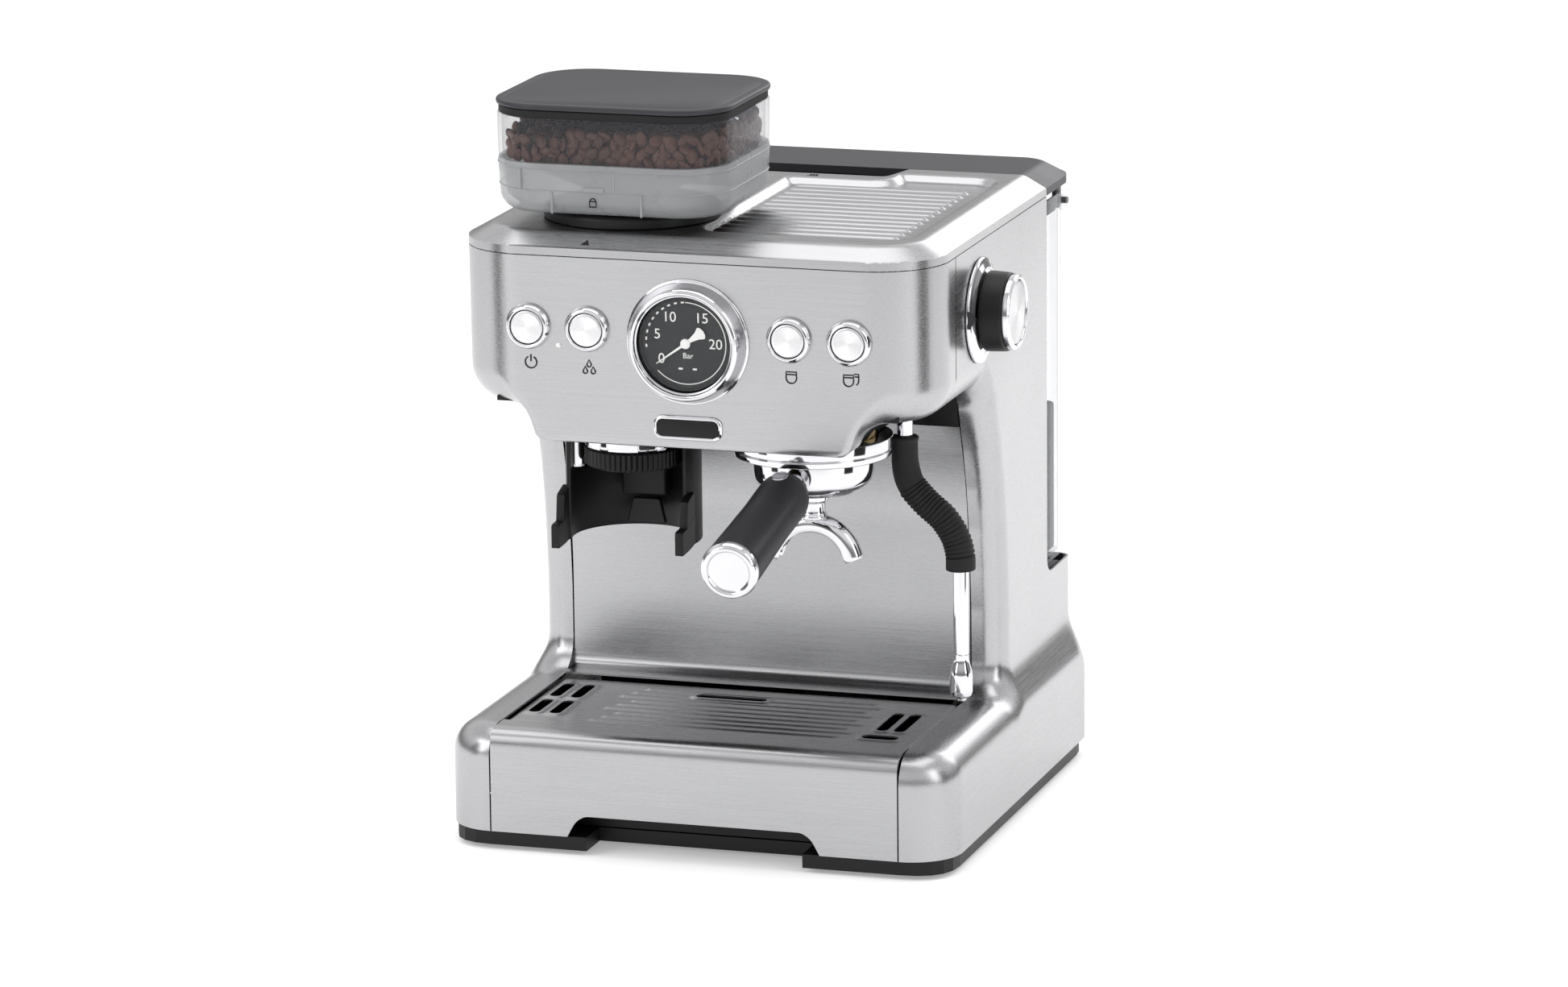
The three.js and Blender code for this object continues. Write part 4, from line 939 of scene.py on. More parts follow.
core = loft([ring(24, 24, 16, 384), ring(56, 48, 20, 402), ring(59, 51, 22, 408), ring(59, 51, 22, 418)],
            (HOPPER_X, HOPPER_Y))
build("bean_heap", *merge(core, *beans), "hopper", "beans", ["bean_bed"], angle=70)

# ---------------------------------------------------------------- gauge, buttons and prints on the front
SLOPE = math.atan(LEAN)


def on_front(mesh, x, z):
    """Places a mesh drawn about the origin, facing -Y, on the leaning panel at that x and z."""
    p, faces = turn_x(mesh, SLOPE, (0, 0, 0))
    return p + np.array([x, PANEL_FRONT + LEAN * (SEAM_Z - z), z]), faces


def face_turn(profile, sides=72, radius=0.4):
    return revolve(soften(profile, radius), (0, 0, 0), "y", sides)


gauge_ring = face_turn([
    (29.2, -0.1), (37.0, -0.1), (36.9, -1.2, 0.5), (35.6, -1.7, 0.3), (35.3, -3.0, 1.0), (32.8, -10.4, 1.6),
    (31.0, -11.7, 1.0), (29.6, -11.2, 0.8), (29.1, -9.4, 0.5), (28.2, -9.2, 0.3), (28.2, -6.4),
    (29.2, -6.4), (29.2, -0.1),
], 96)
build("gauge_ring", *on_front(gauge_ring, 0, GAUGE_Z), "housing", "chrome", ["gauge_bezel"])
cup = face_turn([(0, -3.6), (1.4, -3.6), (26.4, -3.6), (26.8, -5.5), (27.6, -5.5), (27.6, 12), (0, 12)], 72)
build("gauge_cup", *on_front(cup, 0, GAUGE_Z), "housing", "dial_black", ["gauge_dial"])
pane = face_turn([(0, -7.6), (27.4, -7.6), (27.7, -7.3), (27.7, -6.6), (0, -6.6)], 72)
build("gauge_pane", *on_front(pane, 0, GAUGE_Z), "housing", "glass", ["gauge_glass"])


def flat_line(points, width, y, height=0.12, closed=False):
    """A printed line of constant width through (x, z) points, standing just proud of y."""
    pts = np.array(points, float)
    count = len(pts)
    ends = []
    for i in range(count):
        a = pts[(i - 1) % count] if closed or i else pts[i]
        b = pts[(i + 1) % count] if closed or i < count - 1 else pts[i]
        way = (b - a) / max(np.linalg.norm(b - a), 1e-9)
        side = np.array([-way[1], way[0]]) * width / 2
        ends.append([(*(pts[i] + s * side), level) for s in (-1, 1) for level in (0, 1)])
    cloud = np.array([(u, y - height * level, v) for four in ends for u, v, level in four])
    faces = []
    for i in range(count if closed else count - 1):
        a, b = 4 * i, 4 * ((i + 1) % count)
        faces += [(a + 1, a + 3, b + 3, b + 1), (a, b, b + 2, a + 2), (a, a + 1, b + 1, b),
            (a + 3, a + 2, b + 2, b + 3)]
    if not closed:
        last = 4 * (count - 1)
        faces += [(0, 2, 3, 1), (last, last + 1, last + 3, last + 2)]
    return cloud, faces


def arc(cx, cz, radius, start, end, steps=24):
    """Points on a circle; angles are degrees clockwise from straight up."""
    t = np.radians(np.linspace(start, end, steps + 1))
    return np.stack([cx + radius * np.sin(t), cz + radius * np.cos(t)], 1)


def lettering(text, size, cx, cz, y):
    """Generic dial lettering as a thin solid, centred at (cx, cz)."""
    curve = bpy.data.curves.new("letters", "FONT")
    curve.body, curve.size, curve.extrude = text, size, 0.06
    curve.align_x, curve.align_y = "CENTER", "CENTER"
    holder = bpy.data.objects.new("letters", curve)
    bpy.context.scene.collection.objects.link(holder)
    bpy.context.view_layer.update()
    made = bpy.data.meshes.new_from_object(holder.evaluated_get(bpy.context.evaluated_depsgraph_get()))
    flat = np.array([tuple(v.co) for v in made.vertices])
    faces = [tuple(p.vertices) for p in made.polygons]
    bpy.data.objects.remove(holder)
    bpy.data.curves.remove(curve)
    bpy.data.meshes.remove(made)
    return np.stack([flat[:, 0] + cx, y - 0.06 - flat[:, 2], flat[:, 1] + cz], 1), faces


DIAL_Y = -3.62
prints = [flat_line(arc(0, 0, 24.0, 0, 226, 90), 0.55, DIAL_Y)]
prints += [flat_line(arc(0, 0, 24.0, a, a + 4.5, 3), 1.0, DIAL_Y) for a in np.arange(262, 356, 10.2)]
for text, clock in (("0", 237), ("5", 285), ("10", 327), ("15", 33), ("20", 90)):
    t = math.radians(clock)
    prints.append(lettering(text, 8.4, 17.8 * math.sin(t), 17.8 * math.cos(t), DIAL_Y))
prints.append(lettering("Bar", 4.6, 1.0, -7.4, DIAL_Y))
for x in (-3.5, 5.0):
    prints.append(flat_line([(x - 1.2, -15), (x + 1.2, -15)], 1.1, DIAL_Y))
build("dial_print", *on_front(merge(*prints), 0, GAUGE_Z), "housing", "lamp_white")

NEEDLE_CLOCK = math.radians(235)


def needle_point(along, side):
    """A point along the needle (tip positive) and beside it."""
    s, c = math.sin(NEEDLE_CLOCK), math.cos(NEEDLE_CLOCK)
    return along * s + side * c, along * c - side * s


outline_2d = [(21.5, 0.25), (4, 0.7), (-4, 1.2), (-8.5, 2.2), (-11.6, 3.9), (-13.0, 2.6), (-13.6, 0),
              (-13.0, -2.6), (-11.6, -3.9), (-8.5, -2.2), (-4, -1.2), (4, -0.7), (21.5, -0.25)]
flat = np.array([needle_point(*p) for p in outline_2d])
n = len(flat)
blade = (np.concatenate([
    np.stack([flat[:, 0], np.full(n, y), flat[:, 1]], 1) for y in (-4.7, -5.2)
]), [tuple(range(n)), tuple(range(2 * n - 1, n - 1, -1))] + [(i, (i + 1) % n, n + (i + 1) % n,
    n + i) for i in range(n)])
hub = face_turn([(0, -6.0), (1.3, -6.0), (2.9, -5.6), (3.1, -4.6), (1.0, -4.4), (1.0, -1.2), (0, -1.2)], 32)
build("needle", *on_front(merge(blade, hub), 0, GAUGE_Z), "gauge_needle", "lamp_white", ["gauge_needle"])

button_look = spun("button_spun", "Y", (0.70, 0.70, 0.71), (0.80, 0.80, 0.81))
for name, x in BUTTONS.items():
    disc = face_turn([(0, -4.3), (8.6, -4.3), (9.3, -4.1), (9.9, -3.5), (9.9, 9.6), (0, 9.6)], 64)
    build(f"{name}_button_face", *on_front(disc, x, BUTTON_Z), f"{name}_button", button_look,
          [f"{name}_button"], "button_steel")
for side, names in (("left", ("power", "purge")), ("right", ("single", "double"))):
    rings = []
    for name in names:
        rings.append(on_front(face_turn([
            (10.3, 0.6), (10.3, -4.0), (10.9, -4.5), (12.2, -3.9, 0.8), (13.4, -2.0, 0.6), (13.7, -0.1),
            (13.7, 0.0),
            (11.4, 0.0), (11.4, 6.0), (10.3, 6.0), (10.3, 0.6),
        ], 64), BUTTONS[name], BUTTON_Z))
    build(f"bezel_rings_{side}", *merge(*rings), "housing", "chrome", [f"button_bezels_{side}"])
lamp = face_turn([(0, -1.1), (0.9, -0.95), (1.5, -0.5), (1.7, 0.2), (1.7, 4), (0, 4)], 24)
build("status_lamp_lens", *on_front(lamp, *LAMP), "housing", "lamp_white", ["status_lamp"])

PRINT_Y = -0.24
icons = []


def icon(x, z, *strokes):
    icons.extend(on_front(stroke, x, z) for stroke in strokes)


def drop(cx, cz, size):
    lower = arc(cx, cz - 0.25 * size, size * 0.62, 70, 290, 14)
    return flat_line([*lower, (cx, cz + 1.15 * size)], 0.72, PRINT_Y, closed=True)


def cup_sign(cx, cz, half=3.1):
    bowl = [(cx - half, cz + 3.2), (cx - half, cz - 0.4), *arc(cx, cz - 0.4, half, 270, 90, 12)[1:-1],
            (cx + half, cz - 0.4), (cx + half, cz + 3.2)]
    return flat_line(bowl, 0.75, PRINT_Y, closed=True), \
        flat_line([(cx - half, cz + 1.7), (cx + half, cz + 1.7)], 0.72, PRINT_Y)


icon(-95.6, 293.4, flat_line(arc(0, 0, 3.5, 28, 332, 30), 0.78, PRINT_Y),
     flat_line([(0, 0.4), (0, 4.6)], 0.78, PRINT_Y))
icon(-60.2, 292.6, drop(0, 1.6, 2.1), drop(-2.4, -2.4, 2.1), drop(2.4, -2.4, 2.1))
icon(61.7, 292.8, *cup_sign(0, 0))
icon(97.3, 292.8, *cup_sign(-1.5, 0, 3.0), *[flat_line(
    [(1.8, 3.9), (4.6, 3.9), (4.6, 0.3), (4.2, -1.3), (3.2, -2.4)], 0.75, PRINT_Y),
    flat_line([(2.2, 2.4), (4.6, 2.4)], 0.72, PRINT_Y)])
print_look = cast("panel_print", (0.010, 0.010, 0.011), 0.5, 0, 600, 0.05)
build("panel_icons", *merge(*icons), "housing", print_look, (), "black_plastic")

BADGE_Z = 259.4
frame_rings = [(0.0, -0.05), (0.0, -1.0), (0.5, -1.6), (1.2, -1.8), (1.9, -1.5), (2.2, -0.9), (2.2, -0.05)]


def badge_ring(inset, y):
    flat_ring = ring(20.7 - inset, 7.1 - inset, 5.6 - inset, 0, 6)
    return np.stack([flat_ring[:, 0], np.full(len(flat_ring), y), flat_ring[:, 1]], 1)


build("badge_frame", *on_front(loft([badge_ring(*r) for r in frame_rings], closed=True), -1, BADGE_Z),
      "housing", "chrome")
build("badge_face", *on_front(loft([badge_ring(2.1, -0.05), badge_ring(2.1, -1.1),
    badge_ring(2.8, -1.25)]), -1, BADGE_Z),
      "housing", "black_plastic", ["badge_plate"])


# ---------------------------------------------------------------- grinder outlet and portafilter cradle
RING_LOW, LOCK_LOW = 235.0, 222.7
outlet_ring = revolve(soften([
    (22, RING_LOW), (28.0, RING_LOW), (28.6, 235.8), (28.6, 240.5), (27.9, 241.1), (27.9, 241.7),
    (28.6, 242.3),
    (28.6, APRON_Z), (22, APRON_Z), (22, RING_LOW)], 0.35), (*OUTLET, 0), "z", 96)
post = revolve(soften([(0, 219.5), (5.2, 219.5), (5.8, 221), (5.8, 236), (5.2, 238), (5.2, APRON_Z - 0.4),
                       (0, APRON_Z - 0.4)], 0.5), (OUTLET[0] - 35, OUTLET[1], 0), "z", 36)
web = block(OUTLET[0] - 35, OUTLET[0] - 24, OUTLET[1] - 4, OUTLET[1] + 4, 239, APRON_Z - 0.4, 1, 0.5)
build("outlet_ring", *merge(outlet_ring, post, web), "housing", "chrome")

RIBS = 54
lock_steps = RIBS * 4
lock_rings = []
for radius, z, grip_depth in ((18.9, 223.2, 0), (26.6, LOCK_LOW, 0), (27.3, 223.3, 0.5), (27.9, 224.2, 0.9),
                              (27.9, 233.2, 0.9), (27.3, 234.0, 0.4), (26.6, 234.6, 0), (18.9, 234.6, 0)):
    t = np.arange(lock_steps) * 2 * math.pi / lock_steps
    r = radius + grip_depth * np.array([0, 0.9, 1, 0.9])[np.arange(lock_steps) % 4] - grip_depth * 0.25
    lock_rings.append(np.stack([r * np.cos(t), r * np.sin(t), np.full(lock_steps, z)], 1))
build("lock_ring", *loft(lock_rings, OUTLET, closed=True), "outlet_lock_ring", "black_plastic",
    ["outlet_lock_ring"], angle=25)


def sleeve_sheet(inner, outer, low, high, front, steps=56):
    """A standing sleeve round the outlet, open in front of the given local y, with rounded ends and edges."""
    start, end = (math.asin(front / outer), math.pi - math.asin(front / outer))
    stations = np.linspace(start, end, steps)
    loops = []
    for k, t in enumerate(stations):
        tip = min(k, steps - 1 - k)
        ease = (0.9, 0.35, 0)[tip] if tip < 3 else 0
        mid, half = (inner + outer) / 2, (outer - inner) / 2 - ease
        section = []
        for u, v in ((-1, 0.8), (-0.7, 0), (0.7, 0), (1, 0.8), (1, -0.8), (0.7, 0), (-0.7, 0), (-1, -0.8)):
            level = low + v if len(section) < 4 else high + v
            section.append(((mid + u * half) * math.cos(t), (mid + u * half) * math.sin(t), level))
        loops.append(np.array(section))
    return loft(loops, OUTLET)


shelf, shelf_faces = shift(revolve(soften([
    (30, 217.6), (36.5, 217.6), (36.5, 222.2), (30, 222.2), (30, 217.6)], 0.4), (0, 0, 0), "z", 64),
    *OUTLET, 0)
behind = shelf[:, 1] > OUTLET[1] + 0.5
half_shelf = shelf, [f for f in shelf_faces if all(behind[i] for i in f)]
chute_cover = block(OUTLET[0] - 15, OUTLET[0] + 13, OUTLET[1] + 21, OUTLET[1] + 33, 199, 222, 2, 0.8)
cradle_parts = [sleeve_sheet(36, 40, 177.5, APRON_Z - 0.4, -14), half_shelf, chute_cover]


def side_plate(outline_yz, x0, x1, radius=1.6):
    """A thick plate in a plane of constant x, rounded at its corners and eased round both faces."""
    flat_points = np.array(soften([*outline_yz, outline_yz[0]], radius))[:-1]
    middle = flat_points.mean(0)
    loops = []
    for x, pull in ((x0, 0.985), (x0 + 0.5, 1), (x1 - 0.5, 1), (x1, 0.985)):
        loop = middle + (flat_points - middle) * pull
        loops.append(np.stack([np.full(len(loop), x), loop[:, 0], loop[:, 1]], 1))
    return loft(loops, OUTLET)


for side in (-1, 1):
    mid = side * 38
    cradle_parts.append(side_plate([(-23.5, 190), (-9, 190), (-9, 210), (-21.5, 206)], mid - 2.4,
        mid + 2.4))
    cradle_parts.append(side_plate([(-32, 176.2), (-21, 176.8), (-9, 178.5), (-9, 196), (-23.5, 190.6),
        (-32, 190)],
                                   mid - 2.5, mid + 2.5))
build("cradle", *merge(*cradle_parts), "housing", "black_plastic", ["portafilter_cradle"])


def plate_xz(outline_xz, y0, y1, radius=1.2):
    flat_points = np.array(soften([*outline_xz, outline_xz[0]], radius))[:-1]
    middle = flat_points.mean(0)
    loops = []
    for y, pull in ((y1, 1), (y0 + 0.7, 1), (y0, 0.93)):
        loop = middle + (flat_points - middle) * pull
        loops.append(np.stack([loop[:, 0], np.full(len(loop), y), loop[:, 1]], 1))
    return loft(loops, OUTLET)


paddle_plate = plate_xz([(-12, 181.5), (12, 181.5), (8.4, 196.5), (-8.4, 196.5)], 22, 25.2)
paddle_stem = block(OUTLET[0] - 4, OUTLET[0] + 4, OUTLET[1] + 24.5, OUTLET[1] + 32.4, 186, 192, 1, 0.4)
build("paddle", *merge(paddle_plate, paddle_stem), "grind_paddle", "black_plastic", ["grind_switch_paddle"])

# ---------------------------------------------------------------- brew group and portafilter
collar = revolve(soften([(37.4, 235), (45.2, 235), (46.0, 235.5, 0.4), (46.4, 238.6, 0.4),
    (45.7, 239.1, 0.2),
                         (46.7, 239.8, 0.4), (46.7, APRON_Z), (37.4, APRON_Z), (37.4, 235)], 0.5),
                 (*GROUP, 0), "z", 128)
build("collar", *collar, "housing", "chrome", ["group_collar"])
bowl = revolve(soften([
    (4, 211), (13.5, 211, 1), (14.3, 212.2, 0.4), (24.8, 213.4, 1), (25.6, 214.6, 0.4), (30.6, 216.6, 2),
    (34.7, 220.2, 3), (35.6, 226, 3), (35.7, 233.6, 0.6), (31.6, 234.4, 0.4), (31.5, 240.8), (29.7, 241),
    (29.6, 217.2, 2), (4, 215.2), (4, 211)], 0.5), (*GROUP, 0), "z", 128)
lugs = [block(*sorted((GROUP[0] + s * 30.8, GROUP[0] + s * 35.6)), GROUP[1] - 7, GROUP[1] + 7,
              236, 240, 1.5, 0.6) for s in (-1, 1)]
ROOT = (GROUP[0], GROUP[1] - 34, 225.0)
DROOP = math.radians(10.5)


def on_handle(profile, sides, radius=0.6):
    """Turns a (radius, distance out from the bowl) profile and lays it along the drooping handle."""
    bar = revolve(soften([(r, -y) for r, y in [p[:2] for p in profile]], radius), (0, 0, 0), "y", sides)
    return shift(turn_x(bar, DROOP, (0, 0, 0)), *ROOT)


neck = on_handle([(0, 14), (9.6, 14), (9.9, 9), (8.2, 6), (8.4, -2.5), (0, -2.5)], 48)
build("filter_bowl", *merge(bowl, *lugs, neck), "portafilter", "chrome", ["portafilter_bowl"])
grip = on_handle([(0, 124), (15.9, 124), (16.45, 122.6), (16.3, 112), (15.7, 86), (15.15, 58), (15.4, 34),
                  (15.2, 24), (13.4, 17.2), (9.4, 14.5), (0, 14.4)], 96, 2.2)
build("handle_grip", *grip, "portafilter", "handle_plastic", ["portafilter_handle"])
end_cap = on_handle([(0, 128.9), (11.7, 128.9), (12.1, 129.3), (12.6, 130.4), (13.6, 131), (15.2, 130.6),
                     (16.3, 129.3), (16.9, 127.4), (16.7, 124.5), (0, 124.5)], 96, 0.5)
build("handle_cap", *end_cap, "portafilter", "chrome", ["handle_end_cap"])
inset = on_handle([(0, 14.9), (3.2, 14.9), (3.4, 13.4), (0, 13.4)], 32, 0.2)
oval = revolve(soften([(0, 0), (4.4, 0), (4.7, 0.3), (4.7, 0.7), (4.0, 1.0), (0, 1.0)], 0.2), (0, 0, 0),
    "z", 48)
oval = (oval[0] * np.array([1, 1.35, 1]) + np.array([0, -27.5, 15.0]), oval[1])
build("handle_inset", *merge(shift(turn_x(oval, DROOP, (0, 0, 0)), *ROOT), inset), "portafilter",
      "chrome")


def curve_through(knots, count):
    """Smooth curve through the knots, returned with the distance along it."""
    knots = np.array(knots, float)
    along = np.concatenate([[0], np.cumsum(np.linalg.norm(np.diff(knots, axis=0), axis=1))])
    slope = np.gradient(knots, along, axis=0)
    t = np.linspace(0, along[-1], count)
    k = np.clip(np.searchsorted(along, t, side="right") - 1, 0, len(knots) - 2)
    gap = along[k + 1] - along[k]
    u = ((t - along[k]) / gap)[:, None]
    gap = gap[:, None]
    line = ((2 * u ** 3 - 3 * u ** 2 + 1) * knots[k] + (u ** 3 - 2 * u ** 2 + u) * gap * slope[k]
            + (3 * u ** 2 - 2 * u ** 3) * knots[k + 1] + (u ** 3 - u ** 2) * gap * slope[k + 1])
    return line, t


def sweep_xz(line, y, section):
    """Skin of a section carried along an (x, z) line at depth y; section(k) gives (out, across) points."""
    way = np.gradient(line, axis=0)
    way /= np.linalg.norm(way, axis=1)[:, None]
    loops = []
    for k, (point, direction) in enumerate(zip(line, way)):
        side = np.array([-direction[1], direction[0]])
        loops.append(np.array([(*(point + side * out), y + across) for out, across in section(k)])[:,
            [0, 2, 1]])
    return loft(loops)


def round_section(radius, sides=28):
    return [(radius * math.cos(t), radius * math.sin(t)) for t in np.arange(sides) * 2 * math.pi / sides]


GX, GY = GROUP
arch, _ = curve_through([(GX + x, z) for x, z in (
    (-24.2, 172.6), (-20.6, 181), (-12.5, 189.3), (0, 192.6), (12.5, 189.3), (20.6, 181), (24.2, 172.6))],
    61)


def trough(k):
    """Half pipe, open below: outer wall round the top, thin lips and a hollow underside."""
    outer, inner = 6.6, 5.1
    ease = 0.55 if k in (0, 60) else 0
    t = np.linspace(-0.62, math.pi + 0.62, 20)
    back = t[::-1]
    return [((outer - ease) * math.sin(a), (outer - ease) * math.cos(a)) for a in t] + \
        [((inner + ease / 2) * math.sin(a), (inner + ease / 2) * math.cos(a)) for a in back]


spout = sweep_xz(arch, GY, trough)
spout_neck = revolve(soften([
    (0, 196.5), (8.2, 196.5), (8.6, 198, 0.8), (7.2, 200.2, 1.2), (7.0, 206.2, 1), (9.3, 207.6, 0.5),
    (9.5, 210.6, 0.3),
    (3.6, 210.8), (3.6, 216), (0, 216)], 0.5), (*GROUP, 0), "z", 64)
build("spout_body", *merge(spout, spout_neck), "portafilter", "chrome", ["twin_spout"])

# ---------------------------------------------------------------- steam wand
WAND_X, WAND_Y, REACH = 101.5, -50.0, 33.6
pipe = revolve(soften([(0, 225), (4.9, 225), (4.9, 254), (6.2, 255.2), (7.4, 258), (7.4, 272), (5, 276),
    (0, 276)], 0.6),
               (WAND_X, WAND_Y, 0), "z", 48)
build("wand_pipe", *pipe, "steam_wand", "chrome", ["steam_pipe"])
grip_line, along = curve_through([(WAND_X + x, z) for x, z in (
    (0, 241.5), (0, 233), (0.2, 225), (3.2, 213.5), (12, 203), (24, 192.4), (31.2, 180.5), (33.4, 171),
    (33.6, 163))], 300)
total = along[-1]


def grip_section(k):
    s = along[k]
    radius = 7.7 + 0.5 * float(smooth(np.array(s), 6, 26))
    radius += 0.55 * math.exp(-((s - 1.6) / 1.3) ** 2)
    if total - 59 < s < total - 9.3:
        radius = 7.95 + 0.85 * abs(math.sin(math.pi * (s - total + 59) / 2.5)) ** 0.6
    if s >= total - 9.3:
        radius = 8.75 - (0.9 if s < total - 8.3 else 0)
    edge = min(s, total - s)
    if edge < 0.8:
        radius -= 0.8 - math.sqrt(max(0.64 - (0.8 - edge) ** 2, 0))
    return round_section(radius, 36)


build("wand_sleeve", *sweep_xz(grip_line, WAND_Y, grip_section), "steam_wand", "rubber", ["wand_grip"],
    angle=50)
tube = revolve(soften([
    (0, 84), (2.0, 84), (3.0, 84.6), (3.3, 86.2), (5.9, 87.3, 1.0), (6.7, 90), (6.75, 101, 3),
    (4.6, 108.5, 2),
    (4.55, 112.2, 0.1), (4.4, 112.5, 0.1), (4.6, 112.9, 0.1), (4.6, 169.6), (0, 169.6)], 0.5),
    (WAND_X + REACH, WAND_Y, 0), "z", 64)
build("wand_tip", *tube, "steam_wand", "chrome", ["wand_tube"])

# ---------------------------------------------------------------- steam knob
KX, KY, KZ = KNOB
flange = revolve(soften([
    (8, 0.4), (31, 0.4), (31.2, 1.2), (30.6, 2.2), (28.6, 3.0), (25.6, 4.5), (24.6, 4.6), (24.2, 3.2),
    (8, 3.2), (8, 0.4)],
    0.4), (KX, KY, KZ), "x", 128)
pointer = (np.array([(KX + 3.0, KY - 31.0, KZ - 5.2), (KX + 3.0, KY - 31.0, KZ + 5.2),
    (KX + 5.0, KY - 24.4, KZ),
                     (KX + 1.2, KY - 31.0, KZ - 5.2), (KX + 1.2, KY - 31.0, KZ + 5.2),
                     (KX + 1.2, KY - 24.4, KZ)]),
           [(0, 2, 1), (3, 4, 5), (0, 1, 4, 3), (1, 2, 5, 4), (2, 0, 3, 5)])
build("knob_flange", *flange, "housing", "chrome", ["knob_ring"])
build("knob_pointer", *pointer, "housing", "grey_plastic")
barrel_body = revolve(soften([
    (0, 5), (22.6, 5), (23.4, 5.8), (23.5, 7.4), (23.0, 17.6), (22.4, 19), (0, 19)], 0.6), (KX, KY, KZ),
    "x", 128)
shaft = rod(4, -26, 9, "x", (KX, KY, KZ), 32)
build("knob_barrel", *merge(barrel_body, shaft), "steam_knob", "black_plastic", ["steam_knob"])
knob_face = spun("knob_spun", "X", (0.60, 0.60, 0.61), (0.70, 0.70, 0.71))
knob_rim = revolve(soften([
    (0, 19.3), (22, 19.3), (22.2, 20.2), (22.0, 22.2), (20.9, 23.5), (19.6, 23.6), (19.1, 23.1),
    (18.7, 21.2), (0, 21.2)],
    0.3), (KX, KY, KZ), "x", 128)
knob_disc = revolve(soften([(0, 21.3), (18.5, 21.3), (18.5, 22.3), (17.8, 22.7), (0, 22.9)], 0.3),
    (KX, KY, KZ), "x", 96)
build("knob_rim", *knob_rim, "steam_knob", "chrome", ["steam_knob_cap"])
build("knob_disc", *knob_disc, "steam_knob", knob_face, (), "button_steel")

# ---------------------------------------------------------------- prints on the hopper and the top cover
lock_mark = merge(flat_line([(-2, -2.2), (2, -2.2), (2, 1), (-2, 1)], 0.9, -0.02, closed=True),
                  flat_line(arc(0, 1.2, 1.6, 270, 450, 10), 0.7, -0.02))
lock_mark = shift(lock_mark, HOPPER_X - 4.8, front_wall + 1.75, 385.7)
build("hopper_lock_mark", *lock_mark, "hopper", print_look, (), "black_plastic")

skin_tree = BVHTree.FromObject(bpy.data.objects["top_cover_skin"], bpy.context.evaluated_depsgraph_get())


def drape(mesh, x, y):
    """Lays a print drawn in (x, z) flat on the top cover at (x, y)."""
    out = []
    for u, height, v in mesh[0]:
        start = Vector(((x + u) * MM, (y + v) * MM, 0.5)) + Vector((ORIGIN.x, ORIGIN.y, 0))
        hit = skin_tree.ray_cast(start, Vector((0, 0, -1)))[0]
        level = hit.z / MM if hit else TOP_Z
        out.append((x + u, y + v, level - height))
    return np.array(out), mesh[1]


triangle = (np.array([(-2.6, y, -1.9) for y in (-0.05, -0.2)] + [(2.6, y, -1.9) for y in (-0.05, -0.2)]
                     + [(0.6, y, 2.2) for y in (-0.05, -0.2)]),
            [(0, 2, 4), (1, 5, 3), (0, 1, 3, 2), (2, 3, 5, 4), (4, 5, 1, 0)])
waves = [flat_line([(x + 0.7 * math.sin(t * 2.2), t - 1.6) for t in np.linspace(0, 3.2, 12)], 0.5, -0.05)
         for x in (-1.8, 0, 1.8)]
steam_mark = [flat_line([(-3.4, -3), (3.4, -3)], 0.5, -0.05), *waves]
build("cover_marks", *merge(drape(triangle, -62.3, -139), *[drape(m, 9, 74) for m in steam_mark]),
      "housing", print_look, (), "black_plastic")


# ---------------------------------------------------------------- floor, light and camera
FLOOR_HALF = 6.0
floor_mesh = bpy.data.meshes.new("floor")
floor_mesh.from_pydata(
    [(sx * FLOOR_HALF, sy * FLOOR_HALF, 0) for sx, sy in ((-1, -1), (1, -1), (1, 1), (-1, 1))],
    [],
    [(0, 1, 2, 3)],
)
floor = bpy.data.objects.new("floor", floor_mesh)
bpy.context.scene.collection.objects.link(floor)
floor_look = cast("floor", (0.92, 0.92, 0.92), 0.75, 0, 60, 0.02, 0.01)
floor_shader = floor_look.node_tree.nodes["Principled BSDF"]
floor_shader.inputs["Emission Color"].default_value = (1, 1, 1, 1)
floor_shader.inputs["Emission Strength"].default_value = 0.3
floor_mesh.materials.append(floor_look)
CARD_LOOK = cast("card", (0.015, 0.015, 0.015), 0.9, 0, 60, 0.02, 0.01)


def dark_card(name, x, y, half_width, low, high):
    """A dark card beside the set, seen only in reflections, so that chrome shows dark streaks."""
    across = Vector((-y, x)).normalized() * half_width
    card_mesh = bpy.data.meshes.new(name)
    card_mesh.from_pydata([(x + s * across.x, y + s * across.y, z) for s, z in (
        (-1, low), (1, low), (1, high), (-1, high))], [], [(0, 1, 2, 3)])
    card_mesh.materials.append(CARD_LOOK)
    card = bpy.data.objects.new(name, card_mesh)
    bpy.context.scene.collection.objects.link(card)
    card.visible_camera = card.visible_diffuse = card.visible_shadow = False


dark_card("card_left", -0.85, -0.60, 0.14, 0, 0.62)
dark_card("card_right", 0.98, -0.10, 0.16, 0, 0.62)


def area_light(name, position, target, size, energy):
    lamp = bpy.data.lights.new(name, "AREA")
    lamp.shape = "RECTANGLE"
    lamp.size, lamp.size_y = size
    lamp.energy = energy
    holder = bpy.data.objects.new(name, lamp)
    bpy.context.scene.collection.objects.link(holder)
    holder.location = position
    holder.rotation_mode = "QUATERNION"
    holder.rotation_quaternion = (Vector(target) - Vector(position)).to_track_quat("-Z", "Y")
    holder.visible_camera = False


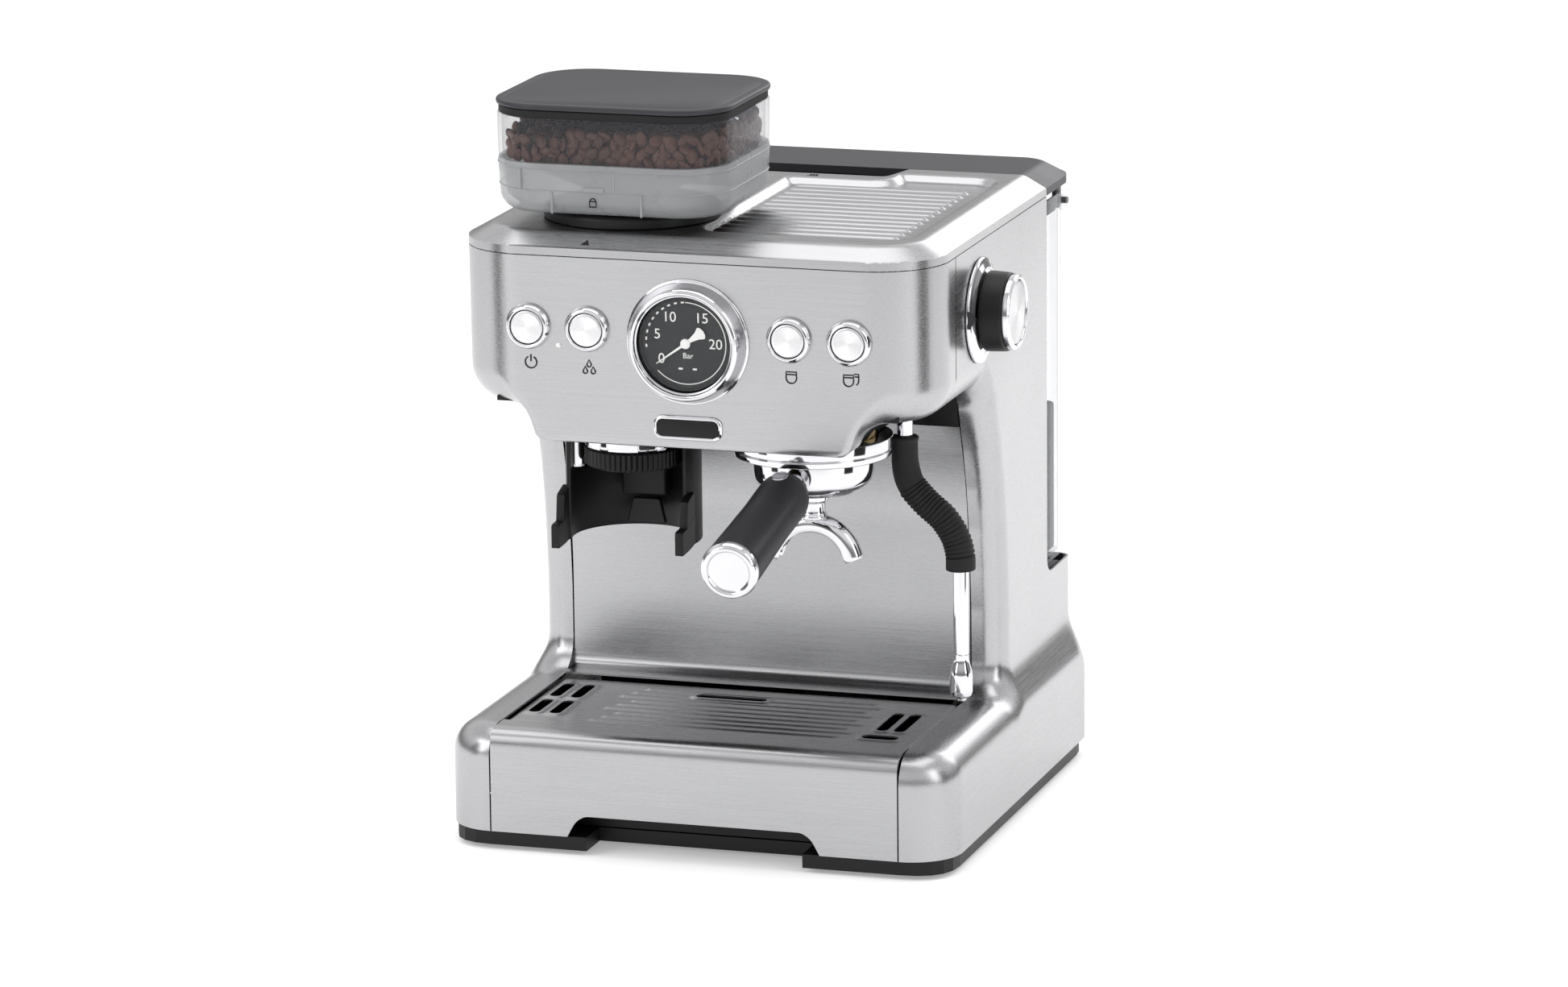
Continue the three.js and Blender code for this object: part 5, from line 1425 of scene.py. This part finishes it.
area_light("softbox_left", (-1.5, -1.5, 1.1), (0, 0, 0.2), (1.2, 1.6), 14)
area_light("softbox_right", (1.9, -0.7, 1.0), (0, 0, 0.2), (0.7, 1.6), 8)
area_light("softbox_top", (0, 0.1, 1.9), (0, 0, 0.2), (1.8, 1.4), 13)
area_light("softbox_rear", (0.6, 1.8, 1.1), (0, 0, 0.3), (1.6, 1.0), 9)

world = bpy.data.worlds.new("studio")
bpy.context.scene.world = world
world.use_nodes = True
sky = world.node_tree
heading = sky.nodes.new("ShaderNodeTexCoord")
height = sky.nodes.new("ShaderNodeSeparateXYZ")
sky.links.new(heading.outputs["Generated"], height.inputs["Vector"])
bands = sky.nodes.new("ShaderNodeValToRGB")
SKY = ((0.0, 0.34), (0.06, 0.22), (0.20, 0.42), (0.42, 1.0), (0.75, 0.85), (1.0, 0.55))
while len(bands.color_ramp.elements) < len(SKY):
    bands.color_ramp.elements.new(0.5)
for stop, (place, level) in zip(bands.color_ramp.elements, SKY):
    stop.position, stop.color = place, (level, level, level, 1)
sky.links.new(height.outputs["Z"], bands.inputs["Fac"])
sky.links.new(bands.outputs["Color"], sky.nodes["Background"].inputs["Color"])
sky.nodes["Background"].inputs["Strength"].default_value = 1.0
bpy.context.scene.view_settings.view_transform = "Standard"

AZIMUTH = math.radians(17.5335)
ELEVATION = math.radians(12.9599)
ROLL = math.radians(-0.5619)
DISTANCE = 4356.99
TARGET = row(11.589, 0, 190.163)
SENSOR = 36.0
FOCAL = 168.455
back = Vector((
    math.sin(AZIMUTH) * math.cos(ELEVATION),
    -math.cos(AZIMUTH) * math.cos(ELEVATION),
    math.sin(ELEVATION),
))
lens = bpy.data.cameras.new("camera")
lens.sensor_width = SENSOR
lens.lens = FOCAL
lens.clip_start, lens.clip_end = 0.1, 50
camera = bpy.data.objects.new("camera", lens)
bpy.context.scene.collection.objects.link(camera)
camera.location = TARGET + back * DISTANCE * MM
camera.rotation_mode = "QUATERNION"
camera.rotation_quaternion = (-back).to_track_quat("-Z", "Y") @ Matrix.Rotation(ROLL, 3,
    "Z").to_quaternion()
bpy.context.scene.camera = camera
